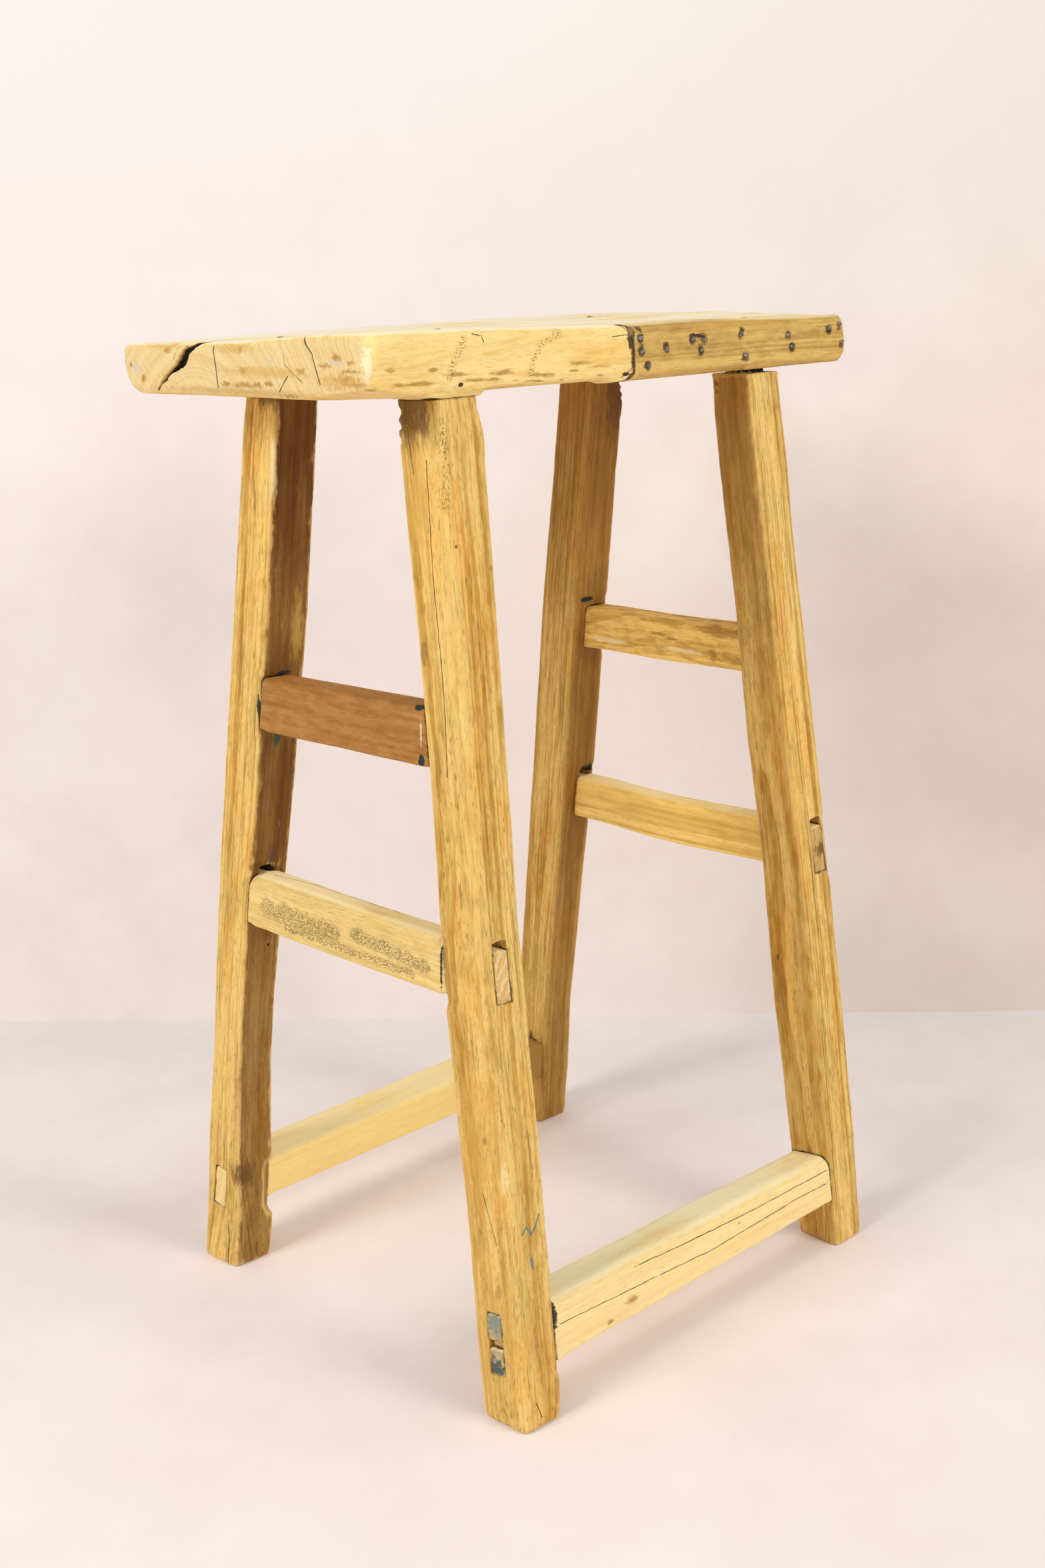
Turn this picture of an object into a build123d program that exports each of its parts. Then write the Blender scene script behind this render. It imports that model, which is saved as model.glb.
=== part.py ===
from build123d import *
from collections import namedtuple
import os

os.makedirs("parts", exist_ok=True)

# Tall country stool: a plank seat on four splayed legs, tied by six stretchers.
# Lengths are millimetres. X runs along the seat to the right, Y from front to back, Z up.
# The origin is on the floor under the middle of the stool.

# Seat plank, drawn level in its own frame and then tilted about its middle
SEAT_LENGTH = 473.0
SEAT_WIDTH = 254.5
SEAT_THICKNESS = 37.0
SEAT_CORNER_ROUND = 9.0
SEAT_TOP_ROUND = 6.5
SEAT_LOWER_ROUND = 6.0
UNDERSIDE_HEIGHT = 662.0
SEAT_RISE_ANGLE = 1.1
SEAT_FALL_ANGLE = 0.7

# How far the seat reaches past the middle of the legs' heads
LEFT_OVERHANG = 72.0
RIGHT_OVERHANG = 98.0
FRONT_OVERHANG = 20.8
REAR_OVERHANG = 83.2

# Legs: spans are between the middles of the legs, sections are wide (X) by deep (Y)
FOOT_SPAN_X = 346.0
FOOT_SPAN_Y = 322.5
HEAD_SPAN_X = SEAT_LENGTH - LEFT_OVERHANG - RIGHT_OVERHANG
HEAD_SPAN_Y = SEAT_WIDTH - FRONT_OVERHANG - REAR_OVERHANG
FOOT_WIDE = 32.0
FOOT_DEEP = 36.5
HEAD_WIDE = 36.0
HEAD_DEEP = 34.5
LEG_ARRIS_ROUND = 2.5
LEGS_LEFT_OF_SEAT = (RIGHT_OVERHANG - LEFT_OVERHANG) / 2
SEAT_BEHIND_LEGS = (REAR_OVERHANG - FRONT_OVERHANG) / 2
RIGHT_SHOULDER_GAP = 3.0

# Leg tenons, which run right through the seat and are spread by a wedge
LEG_TENON_LONG = 26.0
LEG_TENON_THICK = 14.0
LEG_TENON_BELOW_TOP = 0.4
WEDGE_DEPTH = 24.0
WEDGE_THICK = 3.6
WEDGE_TIP = 1.2

# Joints of the stretchers. One chisel cut every mortise, so all tenons are as thick.
# A mortise is open above its tenon, by the pocket named for its stretcher.
STRETCHER_TENON_THICK = 12.0
TENON_EDGE = 1.0
BLIND_TENON_REACH = 23.0
UPPER_POCKET = 2.0
LOWER_POCKET = 6.5
LONG_POCKET = 1.5
JOINT_CLEARANCE = 0.15

# Where a tenon lies across its stretcher, from its outer side to its inner side
SIDE_TENON_SHARE = 0.5
LONG_TENON_SHARE = 0.6
BARE_FACED_TENON_SHARE = 0.9

# Stretchers: undersides and heights are at the left or front end, then the other end
FACE_SETBACK = 0.5
STRETCHER_EDGE_ROUND = 2.5

LEFT_UPPER_UNDERSIDES = (433.0, 429.0)
LEFT_UPPER_HEIGHTS = (38.0, 37.0)
LEFT_UPPER_THICKNESS = 24.5
LEFT_UPPER_WORN_ROUND = 4.0

LEFT_LOWER_UNDERSIDES = (285.5, 284.5)
LEFT_LOWER_HEIGHTS = (35.0, 36.0)
LEFT_LOWER_THICKNESS = 21.5
LEFT_LOWER_WORN_ROUND = 8.0

RIGHT_UPPER_UNDERSIDES = (443.0, 441.5)
RIGHT_UPPER_HEIGHTS = (34.0, 33.0)
RIGHT_UPPER_THICKNESS = 23.0
RIGHT_UPPER_WORN_ROUND = 3.0

RIGHT_LOWER_UNDERSIDES = (295.0, 293.5)
RIGHT_LOWER_HEIGHTS = (36.0, 34.5)
RIGHT_LOWER_THICKNESS = 19.0
RIGHT_LOWER_WORN_ROUND = 4.0

FRONT_UNDERSIDES = (37.5, 37.5)
FRONT_HEIGHTS = (43.0, 36.0)
FRONT_THICKNESS = 33.5
FRONT_WORN_ROUND = 9.0

REAR_UNDERSIDES = (48.0, 49.5)
REAR_HEIGHTS = (32.0, 34.0)
REAR_THICKNESS = 33.5
REAR_WORN_ROUND = 5.0

# Stub of a wedge in the left end of the front stretcher's tenon, broken off below the face
STUB_WEDGE_DEEP = 9.0
STUB_WEDGE_HIGH = 6.0
STUB_WEDGE_SUNK = 2.5

# Repair strip nailed to the front edge of the seat
STRIP_DEPTH = 11.0
STRIP_FACE_START = -6.0
SCARF_RUN = 22.0

# Hand-forged nails of the repair: square tapering shanks and low eight-sided heads
NAIL_LENGTH = 27.0
NAIL_SHANK_THICK = 2.2
NAIL_POINT_THICK = 0.4
NAIL_HEAD_RADIUS = 2.6
NAIL_HEAD_SIDES = 8
NAIL_RIM_HEIGHT = 0.5
NAIL_HEAD_HEIGHT = 1.2
NAIL_CROWN_ANGLE = 50.0
NAIL_CLEARANCE = 0.15
# Along the strip from its face seam to its right end, and up the front face
NAIL_PLACE_SHARES = [
    (0.028, 0.98), (0.035, 0.52), (0.060, 0.04),
    (0.140, 0.56), (0.258, 0.83), (0.313, 0.74), (0.299, 0.40),
    (0.485, 0.85), (0.507, 0.10),
    (0.716, 0.70), (0.738, 0.27), (0.930, 0.84),
]

# One overrun serves every cut that has to pass right through
OVERRUN = 20.0

# run is the way a stretcher lies, and side is the side of the stool that it is on
Stretcher = namedtuple("Stretcher", "name run side undersides heights thickness worn_round "
                                    "tenon_share through pocket")
FRONT_STRETCHER = Stretcher(
    "front_stretcher", "long", -1, FRONT_UNDERSIDES, FRONT_HEIGHTS, FRONT_THICKNESS,
    FRONT_WORN_ROUND, LONG_TENON_SHARE, True, LONG_POCKET)
STRETCHERS = [
    Stretcher(
        "left_upper_stretcher", "side", -1, LEFT_UPPER_UNDERSIDES, LEFT_UPPER_HEIGHTS,
        LEFT_UPPER_THICKNESS, LEFT_UPPER_WORN_ROUND, SIDE_TENON_SHARE, False, UPPER_POCKET),
    Stretcher(
        "left_lower_stretcher", "side", -1, LEFT_LOWER_UNDERSIDES, LEFT_LOWER_HEIGHTS,
        LEFT_LOWER_THICKNESS, LEFT_LOWER_WORN_ROUND, BARE_FACED_TENON_SHARE, True, LOWER_POCKET),
    Stretcher(
        "right_upper_stretcher", "side", 1, RIGHT_UPPER_UNDERSIDES, RIGHT_UPPER_HEIGHTS,
        RIGHT_UPPER_THICKNESS, RIGHT_UPPER_WORN_ROUND, SIDE_TENON_SHARE, False, UPPER_POCKET),
    Stretcher(
        "right_lower_stretcher", "side", 1, RIGHT_LOWER_UNDERSIDES, RIGHT_LOWER_HEIGHTS,
        RIGHT_LOWER_THICKNESS, RIGHT_LOWER_WORN_ROUND, SIDE_TENON_SHARE, True, LOWER_POCKET),
    FRONT_STRETCHER,
    Stretcher(
        "rear_stretcher", "long", 1, REAR_UNDERSIDES, REAR_HEIGHTS, REAR_THICKNESS,
        REAR_WORN_ROUND, LONG_TENON_SHARE, True, LONG_POCKET),
]

LEGS = {
    "leg_front_left": (-1, -1),
    "leg_front_right": (1, -1),
    "leg_rear_left": (-1, 1),
    "leg_rear_right": (1, 1),
}


def blend(first, last, share):
    return first + (last - first) * share


def leg_section_at(side, end, height):
    """Middle of a leg and its size across, at a height above the floor."""
    share = height / UNDERSIDE_HEIGHT
    middle_x = side * blend(FOOT_SPAN_X, HEAD_SPAN_X, share) / 2 - LEGS_LEFT_OF_SEAT
    middle_y = end * blend(FOOT_SPAN_Y, HEAD_SPAN_Y, share) / 2
    wide = blend(FOOT_WIDE, HEAD_WIDE, share)
    deep = blend(FOOT_DEEP, HEAD_DEEP, share)
    return middle_x, middle_y, wide, deep


def tapered_timber(first_end, last_end):
    """A straight flat-sided timber between two rectangles, each a plane, wide and deep."""
    corners = []
    for plane, wide, deep in (first_end, last_end):
        for across in (-wide / 2, wide / 2):
            for up in (-deep / 2, deep / 2):
                corners.append(plane.from_local_coords((across, up, 0)))
    return ConvexPolyhedron(corners)


def leg_space(side, end):
    """The tapered, splayed timber of one leg with sharp arrises, from floor to past the seat."""
    ends = []
    for height in (0, UNDERSIDE_HEIGHT + SEAT_THICKNESS + OVERRUN):
        middle_x, middle_y, wide, deep = leg_section_at(side, end, height)
        ends.append((Plane(origin=(middle_x, middle_y, height)), wide, deep))
    return tapered_timber(*ends)


def leg_tenon_bar(side, end, clearance):
    """A bar along the leg's own lean: the tenon, or its mortise with the clearance."""
    ends = []
    for height in (UNDERSIDE_HEIGHT - OVERRUN, UNDERSIDE_HEIGHT + SEAT_THICKNESS + OVERRUN):
        middle_x, middle_y, _, _ = leg_section_at(side, end, height)
        plane = Plane(origin=(middle_x, middle_y, height))
        ends.append((plane, LEG_TENON_LONG + 2 * clearance, LEG_TENON_THICK + 2 * clearance))
    return tapered_timber(*ends)


def seat_frame():
    """Takes the level plank, drawn on its underside's middle, to its tilted place."""
    middle = Pos(0, SEAT_BEHIND_LEGS, UNDERSIDE_HEIGHT + SEAT_THICKNESS / 2)
    return middle * Rot(-SEAT_FALL_ANGLE, -SEAT_RISE_ANGLE, 0) * Pos(0, 0, -SEAT_THICKNESS / 2)


def above_seat_plane(level):
    """Everything over a plane that lies level above the tilted underside."""
    reach = SEAT_LENGTH + 2 * OVERRUN
    return seat_frame() * Pos(0, 0, level) * Box(reach, reach, reach,
                                                 align=(Align.CENTER, Align.CENTER, Align.MIN))


def on_seat_plane(side, end, level):
    """Where a leg's middle line meets a plane over the tilted underside."""
    plane = Plane(seat_frame() * Pos(0, 0, level))
    foot_x, foot_y, _, _ = leg_section_at(side, end, 0)
    head_x, head_y, _, _ = leg_section_at(side, end, UNDERSIDE_HEIGHT)
    foot = Vector(foot_x, foot_y, 0)
    lean = Vector(head_x, head_y, UNDERSIDE_HEIGHT) - foot
    travel = (plane.origin - foot).dot(plane.z_dir) / lean.dot(plane.z_dir)
    return foot + lean * travel, lean.normalized()


def wedge_shape(side, end, clearance, rise, across):
    """A wedge pointing down a leg tenon, its flat sides square to the grain of the seat."""
    top, lean = on_seat_plane(side, end, SEAT_THICKNESS - LEG_TENON_BELOW_TOP)
    taper = (WEDGE_THICK - WEDGE_TIP) / 2 / WEDGE_DEPTH
    half_tip = WEDGE_TIP / 2 + clearance
    half_top = WEDGE_THICK / 2 + clearance + taper * rise
    tip = -WEDGE_DEPTH - clearance
    outline = Polygon((-half_tip, tip), (half_tip, tip), (half_top, rise), (-half_top, rise),
                      align=None)
    plane = Plane(origin=top, x_dir=(1, 0, 0), z_dir=Vector(1, 0, 0).cross(lean))
    return extrude(plane * outline, amount=across / 2, both=True)


def leg_wedge(side, end):
    return wedge_shape(side, end, 0, 0, LEG_TENON_THICK - 2 * JOINT_CLEARANCE)


def leg_wedge_slot(side, end):
    return wedge_shape(side, end, JOINT_CLEARANCE, OVERRUN, LEG_TENON_THICK + 2 * OVERRUN)


def face_plane(stretcher, along, height):
    """Plane square to a stretcher's run, on the legs' outer face: x inwards, y up."""
    side = stretcher.side
    foot_x, foot_y, foot_wide, foot_deep = leg_section_at(side, side, 0)
    head_x, head_y, head_wide, head_deep = leg_section_at(side, side, UNDERSIDE_HEIGHT)
    if stretcher.run == "side":
        foot, head = foot_x + side * foot_wide / 2, head_x + side * head_wide / 2
    else:
        foot, head = foot_y + side * foot_deep / 2, head_y + side * head_deep / 2
    slope = (head - foot) / UNDERSIDE_HEIGHT
    outer = foot + slope * height
    if stretcher.run == "side":
        return Plane(origin=(outer, along, height), x_dir=(-side, 0, side * slope),
                     z_dir=(0, side, 0))
    return Plane(origin=(along, outer, height), x_dir=(0, -side, side * slope),
                 z_dir=(-side, 0, 0))


End = namedtuple("End", "leg plane outward leg_thick height")


def stretcher_ends(stretcher):
    """Both ends of a stretcher: each has its plane in the middle of its leg."""
    ends = []
    for way, underside, height in zip((-1, 1), stretcher.undersides, stretcher.heights):
        middle_height = underside + height / 2
        leg = (stretcher.side, way) if stretcher.run == "side" else (way, stretcher.side)
        middle_x, middle_y, wide, deep = leg_section_at(*leg, middle_height)
        along, leg_thick = (middle_y, deep) if stretcher.run == "side" else (middle_x, wide)
        plane = face_plane(stretcher, along, middle_height)
        outward = way * (plane.z_dir.X + plane.z_dir.Y)
        ends.append(End(leg, plane, outward, leg_thick, height))
    return ends


def stretcher_bar(stretcher):
    """The timber between the middles of its two legs, before the shoulders are cut."""
    ends = []
    for end in stretcher_ends(stretcher):
        middle = end.plane.from_local_coords((FACE_SETBACK + stretcher.thickness / 2, 0, 0))
        plane = Plane(origin=middle, x_dir=end.plane.x_dir, z_dir=end.plane.z_dir)
        ends.append((plane, stretcher.thickness, end.height))
    bar = tapered_timber(*ends)

    def outward_and_up(edge):
        place = plane.to_local_coords(edge.center())
        return place.Y - place.X

    worn_edge = bar.edges().sort_by(outward_and_up)[-1]
    bar = fillet(worn_edge, stretcher.worn_round)
    lengthwise = bar.edges().sort_by(SortBy.LENGTH)[-5:]
    return fillet(lengthwise.sort_by(outward_and_up)[:3], STRETCHER_EDGE_ROUND)


def tenon_middle(stretcher):
    """Distance from the legs' outer face to the middle of the tenon's thickness."""
    spare = stretcher.thickness - STRETCHER_TENON_THICK
    return FACE_SETBACK + spare * stretcher.tenon_share + STRETCHER_TENON_THICK / 2


def end_bar(stretcher, end, clearance, pocket):
    """Tenon of one end, or its mortise, which has clearance round it and a pocket above."""
    high = end.height - 2 * TENON_EDGE + 2 * clearance + pocket
    outline = Rectangle(STRETCHER_TENON_THICK + 2 * clearance, high)
    placed = end.plane * Pos(tenon_middle(stretcher), pocket / 2) * outline
    reach = end.leg_thick
    if not stretcher.through:
        reach = BLIND_TENON_REACH - end.leg_thick / 2 + clearance
    inner_part = extrude(placed, amount=-end.outward * end.leg_thick)
    return inner_part + extrude(placed, amount=end.outward * reach)


def stretcher_timber(stretcher):
    """A stretcher with its shoulders on the legs' inner faces and a tenon at each end."""
    timber = stretcher_bar(stretcher)
    tenons = []
    for end in stretcher_ends(stretcher):
        timber = timber - leg_space(*end.leg)
        tenons.append(end_bar(stretcher, end, 0, 0) & leg_space(*end.leg))
    return timber + tenons


def stub_wedge_bar(clearance, sunk, across):
    """A bar in the left end of the front stretcher's tenon, sunk below the leg's face."""
    end = stretcher_ends(FRONT_STRETCHER)[0]
    outline = Rectangle(across, STUB_WEDGE_HIGH + 2 * clearance)
    inner_end = end.outward * (end.leg_thick / 2 - STUB_WEDGE_DEEP - clearance)
    outer_end = end.outward * (end.leg_thick / 2 - sunk)
    placed = end.plane * Pos(tenon_middle(FRONT_STRETCHER), 0, inner_end) * outline
    return extrude(placed, amount=outer_end - inner_end)


def stub_wedge():
    return stub_wedge_bar(0, STUB_WEDGE_SUNK, STRETCHER_TENON_THICK - 2 * JOINT_CLEARANCE)


def stub_wedge_pocket():
    return stub_wedge_bar(JOINT_CLEARANCE, -OVERRUN, 2 * OVERRUN)


def leg_timber(side, end):
    """A leg: taper, shoulder under the seat, through tenon, wedge slot and mortises."""
    gap = RIGHT_SHOULDER_GAP if side > 0 else 0
    timber = leg_space(side, end)
    timber = fillet(timber.edges().sort_by(SortBy.LENGTH)[-4:], LEG_ARRIS_ROUND)
    timber = timber - above_seat_plane(-gap)
    tenon = leg_tenon_bar(side, end, 0) - above_seat_plane(SEAT_THICKNESS - LEG_TENON_BELOW_TOP)
    timber = timber + tenon - leg_wedge_slot(side, end)
    for stretcher in STRETCHERS:
        for stretcher_end in stretcher_ends(stretcher):
            if stretcher_end.leg == (side, end):
                mortise = end_bar(stretcher, stretcher_end, JOINT_CLEARANCE, stretcher.pocket)
                timber = timber - mortise
    return timber


def seat_blank():
    """The whole plank in its own level frame, its edges rounded by hand and by wear."""
    blank = Box(SEAT_LENGTH, SEAT_WIDTH, SEAT_THICKNESS,
                align=(Align.CENTER, Align.CENTER, Align.MIN))
    blank = fillet(blank.edges().filter_by(Axis.Z), SEAT_CORNER_ROUND)
    top_edges = blank.faces().sort_by(Axis.Z)[-1].outer_wire().edges()
    blank = fillet(top_edges, SEAT_TOP_ROUND)
    low_edges = blank.faces().sort_by(Axis.Z)[0].outer_wire().edges()
    return fillet(low_edges, SEAT_LOWER_ROUND)


def strip_space():
    """What was cut off the seat's front edge: a long notch that ends in a scarf."""
    front = -SEAT_WIDTH / 2
    back = front + STRIP_DEPTH
    right = SEAT_LENGTH / 2 + OVERRUN
    lean = SCARF_RUN / STRIP_DEPTH
    outline = Polygon(
        (STRIP_FACE_START + lean * OVERRUN, front - OVERRUN), (right, front - OVERRUN),
        (right, back), (STRIP_FACE_START - SCARF_RUN, back),
        align=None)
    return Pos(0, 0, -OVERRUN) * extrude(outline, amount=SEAT_THICKNESS + 2 * OVERRUN)


def nail_places():
    """Nails stand square on the front face, spread as the repairer drove them."""
    strip_end = SEAT_LENGTH / 2 - SEAT_CORNER_ROUND
    lowest = SEAT_LOWER_ROUND + NAIL_HEAD_RADIUS
    highest = SEAT_THICKNESS - SEAT_TOP_ROUND - NAIL_HEAD_RADIUS
    places = []
    for along_share, up_share in NAIL_PLACE_SHARES:
        across = blend(STRIP_FACE_START, strip_end, along_share)
        height = blend(lowest, highest, up_share)
        places.append(Pos(across, -SEAT_WIDTH / 2, height) * Rot(90, 0, 0))
    return places


def nail_shank(clearance, above):
    """A square shank that tapers to its point, or its hole, which opens above the wood."""
    slope = (NAIL_SHANK_THICK - NAIL_POINT_THICK) / NAIL_LENGTH
    thick = NAIL_SHANK_THICK + 2 * clearance + slope * above
    tip_thick = NAIL_POINT_THICK + 2 * clearance
    top = Plane(origin=(0, 0, above))
    tip = Plane(origin=(0, 0, -NAIL_LENGTH - clearance))
    return tapered_timber((top, thick, thick), (tip, tip_thick, tip_thick))


def nail():
    """One nail along its own axis, its head standing on the wood."""
    outline = RegularPolygon(NAIL_HEAD_RADIUS, NAIL_HEAD_SIDES)
    rim = extrude(outline, amount=NAIL_RIM_HEIGHT)
    crown = extrude(Pos(0, 0, NAIL_RIM_HEIGHT) * outline, amount=NAIL_HEAD_HEIGHT - NAIL_RIM_HEIGHT,
                    taper=NAIL_CROWN_ANGLE)
    return rim + crown + nail_shank(0, NAIL_RIM_HEIGHT)


def nail_holes():
    return [place * nail_shank(NAIL_CLEARANCE, OVERRUN) for place in nail_places()]


def seat_timbers():
    """The plank with its notch and mortises, and the strip that fills the notch."""
    blank = seat_blank()
    notch = strip_space()
    plank = blank - notch
    strip = blank & notch
    for hole in nail_holes():
        plank = plank - hole
        strip = strip - hole
    plank = seat_frame() * plank
    strip = seat_frame() * strip
    for side, end in LEGS.values():
        plank = plank - leg_tenon_bar(side, end, JOINT_CLEARANCE)
    return plank, strip


def keep(name, shape):
    """Writes one node and says how many solids it holds."""
    solids = shape.solids()
    body = solids[0] if len(solids) == 1 else Compound(children=solids)
    body.label = name
    export_step(body, f"parts/{name}.step")
    print(name, len(solids), "solids", round(shape.volume), "mm3")


seat_plank, repair_strip = seat_timbers()
keep("seat_plank", seat_plank)
keep("seat_repair_strip", repair_strip)
keep("repair_nails", Compound([seat_frame() * place * nail() for place in nail_places()]))

for leg_name, (leg_side, leg_end) in LEGS.items():
    keep(leg_name, leg_timber(leg_side, leg_end))

for stool_stretcher in STRETCHERS:
    stretcher_shape = stretcher_timber(stool_stretcher)
    if stool_stretcher is FRONT_STRETCHER:
        stretcher_shape = stretcher_shape - stub_wedge_pocket()
    keep(stool_stretcher.name, stretcher_shape)

keep("leg_tenon_wedges", Compound([leg_wedge(*leg) for leg in LEGS.values()]))
keep("broken_tenon_wedge", stub_wedge())
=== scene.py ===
# %% [markdown]
# A tall country stool: four splayed legs, six stretchers and one thick plank, all hand cut and much
# repaired. The joinery is already solid geometry, so this script only has to make it look old. It
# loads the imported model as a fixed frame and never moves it.

# %% Load the stool as a fixed frame
import itertools
import math

import bmesh
import bpy
import numpy as np
from mathutils import Matrix, Vector
from mathutils.bvhtree import BVHTree


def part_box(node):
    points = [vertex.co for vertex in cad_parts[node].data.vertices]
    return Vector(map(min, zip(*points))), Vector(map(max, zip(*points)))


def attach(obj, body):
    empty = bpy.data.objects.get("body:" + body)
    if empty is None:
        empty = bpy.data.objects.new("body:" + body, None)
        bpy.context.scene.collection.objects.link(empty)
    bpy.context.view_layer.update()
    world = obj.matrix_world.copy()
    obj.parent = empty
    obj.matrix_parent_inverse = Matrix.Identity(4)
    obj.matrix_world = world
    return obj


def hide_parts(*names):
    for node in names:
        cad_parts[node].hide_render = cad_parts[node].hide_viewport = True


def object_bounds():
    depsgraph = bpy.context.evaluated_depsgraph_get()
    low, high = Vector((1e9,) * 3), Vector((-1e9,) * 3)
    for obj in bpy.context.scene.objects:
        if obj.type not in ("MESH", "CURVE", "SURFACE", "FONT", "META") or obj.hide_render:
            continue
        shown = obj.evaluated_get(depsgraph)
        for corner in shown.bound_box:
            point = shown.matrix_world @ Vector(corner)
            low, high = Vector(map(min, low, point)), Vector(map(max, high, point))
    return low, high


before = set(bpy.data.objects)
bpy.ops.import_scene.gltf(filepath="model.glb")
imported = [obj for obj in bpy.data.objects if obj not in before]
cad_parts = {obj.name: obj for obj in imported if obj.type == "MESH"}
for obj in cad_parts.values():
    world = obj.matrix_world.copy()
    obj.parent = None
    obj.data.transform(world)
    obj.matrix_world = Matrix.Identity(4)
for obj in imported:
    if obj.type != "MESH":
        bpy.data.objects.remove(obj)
CAD_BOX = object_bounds()
MM = 0.001
DETAIL = 1.0
print("stool box in mm", [round(c / MM) for corner in CAD_BOX for c in corner])

# %% [markdown]
# The camera stands where the photographer stood: a little above seat height, close in, looking down
# at one corner of the stool. Near lenses make the legs converge, so the place and the lens were
# worked out together from the legs' edges before anything was modelled.

# %% Camera
CAMERA_PLACE = Vector((-958.4, -934.8, 729.3)) * MM
CAMERA_TURN = math.radians(45.18)
CAMERA_DIP = math.radians(15.06)
CAMERA_ROLL = math.radians(-0.59)
SENSOR_HEIGHT = 36.0
PHOTO_HEIGHT, FOCAL_PIXELS = 2352.0, 2813.0
forward = Vector((math.sin(CAMERA_TURN) * math.cos(CAMERA_DIP),
                  math.cos(CAMERA_TURN) * math.cos(CAMERA_DIP), -math.sin(CAMERA_DIP)))
level_right = Vector((math.cos(CAMERA_TURN), -math.sin(CAMERA_TURN), 0))
level_up = level_right.cross(forward)
photo_right = level_right * math.cos(CAMERA_ROLL) + level_up * math.sin(CAMERA_ROLL)
photo_up = level_up * math.cos(CAMERA_ROLL) - level_right * math.sin(CAMERA_ROLL)

lens = bpy.data.cameras.new("stool_camera")
lens.sensor_fit = "VERTICAL"
lens.sensor_height = SENSOR_HEIGHT
lens.lens = FOCAL_PIXELS / PHOTO_HEIGHT * SENSOR_HEIGHT
camera = bpy.data.objects.new("stool_camera", lens)
turned = Matrix((photo_right, photo_up, -forward)).transposed().to_4x4()
camera.matrix_world = Matrix.Translation(CAMERA_PLACE) @ turned
bpy.context.scene.collection.objects.link(camera)
bpy.context.scene.camera = camera
print("lens", round(lens.lens, 2), "mm")

# %% [markdown]
# Shader trees get long, so a few short helpers place nodes, join them and name their values. The
# rest of the script then reads as a recipe: noise here, a mix there, a bump at the end.

# %% Helpers for shader trees
def put(tree, kind, sockets=None, **settings):
    """Adds a node, sets its properties, and fills or links its input sockets."""
    node = tree.nodes.new("ShaderNode" + kind)
    for name, value in settings.items():
        setattr(node, name, value)
    for name, value in (sockets or {}).items():
        fill(tree, node.inputs[name], value)
    return node


def fill(tree, socket, value):
    """Links the socket if value is another socket, and sets it otherwise."""
    if isinstance(value, bpy.types.NodeSocket):
        tree.links.new(value, socket)
    else:
        socket.default_value = value


def maths(tree, operation, *values, clamp=False):
    node = put(tree, "Math", operation=operation, use_clamp=clamp)
    for socket, value in zip(node.inputs, values):
        fill(tree, socket, value)
    return node.outputs[0]


def vectors(tree, operation, *values):
    node = put(tree, "VectorMath", operation=operation)
    for socket, value in zip(node.inputs, values):
        fill(tree, socket, value)
    return node.outputs["Value" if operation in ("LENGTH", "DOT_PRODUCT") else "Vector"]


def scaled(tree, vector, amount):
    """The vector made longer or shorter by one number, which may be a socket."""
    node = put(tree, "VectorMath", {"Scale": amount}, operation="SCALE")
    fill(tree, node.inputs[0], vector)
    return node.outputs["Vector"]


def moved(tree, places, seed):
    """The places moved by seed in all three directions, so that no two timbers look alike."""
    step = put(tree, "CombineXYZ", {"X": seed, "Y": seed, "Z": seed})
    return vectors(tree, "ADD", places, step.outputs[0])


def ramp(tree, value, low, high):
    """0 below low, 1 above high, and a soft step between. Low may be above high."""
    return put(tree, "MapRange", {"Value": value, "From Min": low, "From Max": high},
               interpolation_type="SMOOTHSTEP").outputs["Result"]


def mix(tree, amount, first, second, blend_type="MIX"):
    node = put(tree, "Mix", data_type="RGBA", blend_type=blend_type, clamp_factor=True)
    fill(tree, node.inputs["Factor"], amount)
    for socket, value in zip((node.inputs[6], node.inputs[7]), (first, second)):
        fill(tree, socket, (*value, 1.0) if isinstance(value, tuple) and len(value) == 3 else value)
    return node.outputs[2]


def noise(tree, places, scale, detail=2.0, roughness=0.5, stretch=None):
    """Noise from 0 to 1 over places; stretch scales the three directions apart."""
    if stretch:
        places = vectors(tree, "MULTIPLY", places, stretch)
    node = put(tree, "TexNoise", {"Vector": places, "Scale": scale, "Detail": detail,
                                  "Roughness": roughness})
    return node.outputs["Fac"]


def new_group(name, inputs, outputs):
    """An empty shader group, with its sockets made from (name, kind, value) and (name, kind)."""
    tree = bpy.data.node_groups.new(name, "ShaderNodeTree")
    for title, kind, value in inputs:
        socket = tree.interface.new_socket(title, in_out="INPUT", socket_type="NodeSocket" + kind)
        socket.default_value = value
    for title, kind in outputs:
        tree.interface.new_socket(title, in_out="OUTPUT", socket_type="NodeSocket" + kind)
    return tree, tree.nodes.new("NodeGroupInput").outputs, tree.nodes.new("NodeGroupOutput").inputs


def use_group(tree, group, sockets):
    return put(tree, "Group", sockets, node_tree=group).outputs


def new_material(name):
    """A material with a node tree, and the Principled BSDF that comes with it."""
    material = bpy.data.materials.new(name)
    material.use_nodes = True
    return material, material.node_tree, material.node_tree.nodes["Principled BSDF"]


# %% [markdown]
# Sawn wood shows three things at three scales: growth rings cut lengthwise, which read as long lines
# a few millimetres apart; fibres, much finer streaks that run with them; and open pores. Hand-worked
# wood adds broad bands, broken dark lines and a fine mottle. One group makes them all from
# coordinates that follow the timber, two across it and one along it. Rings are distances from a pith
# that lies outside the timber, bent a little by slow noise.

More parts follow.
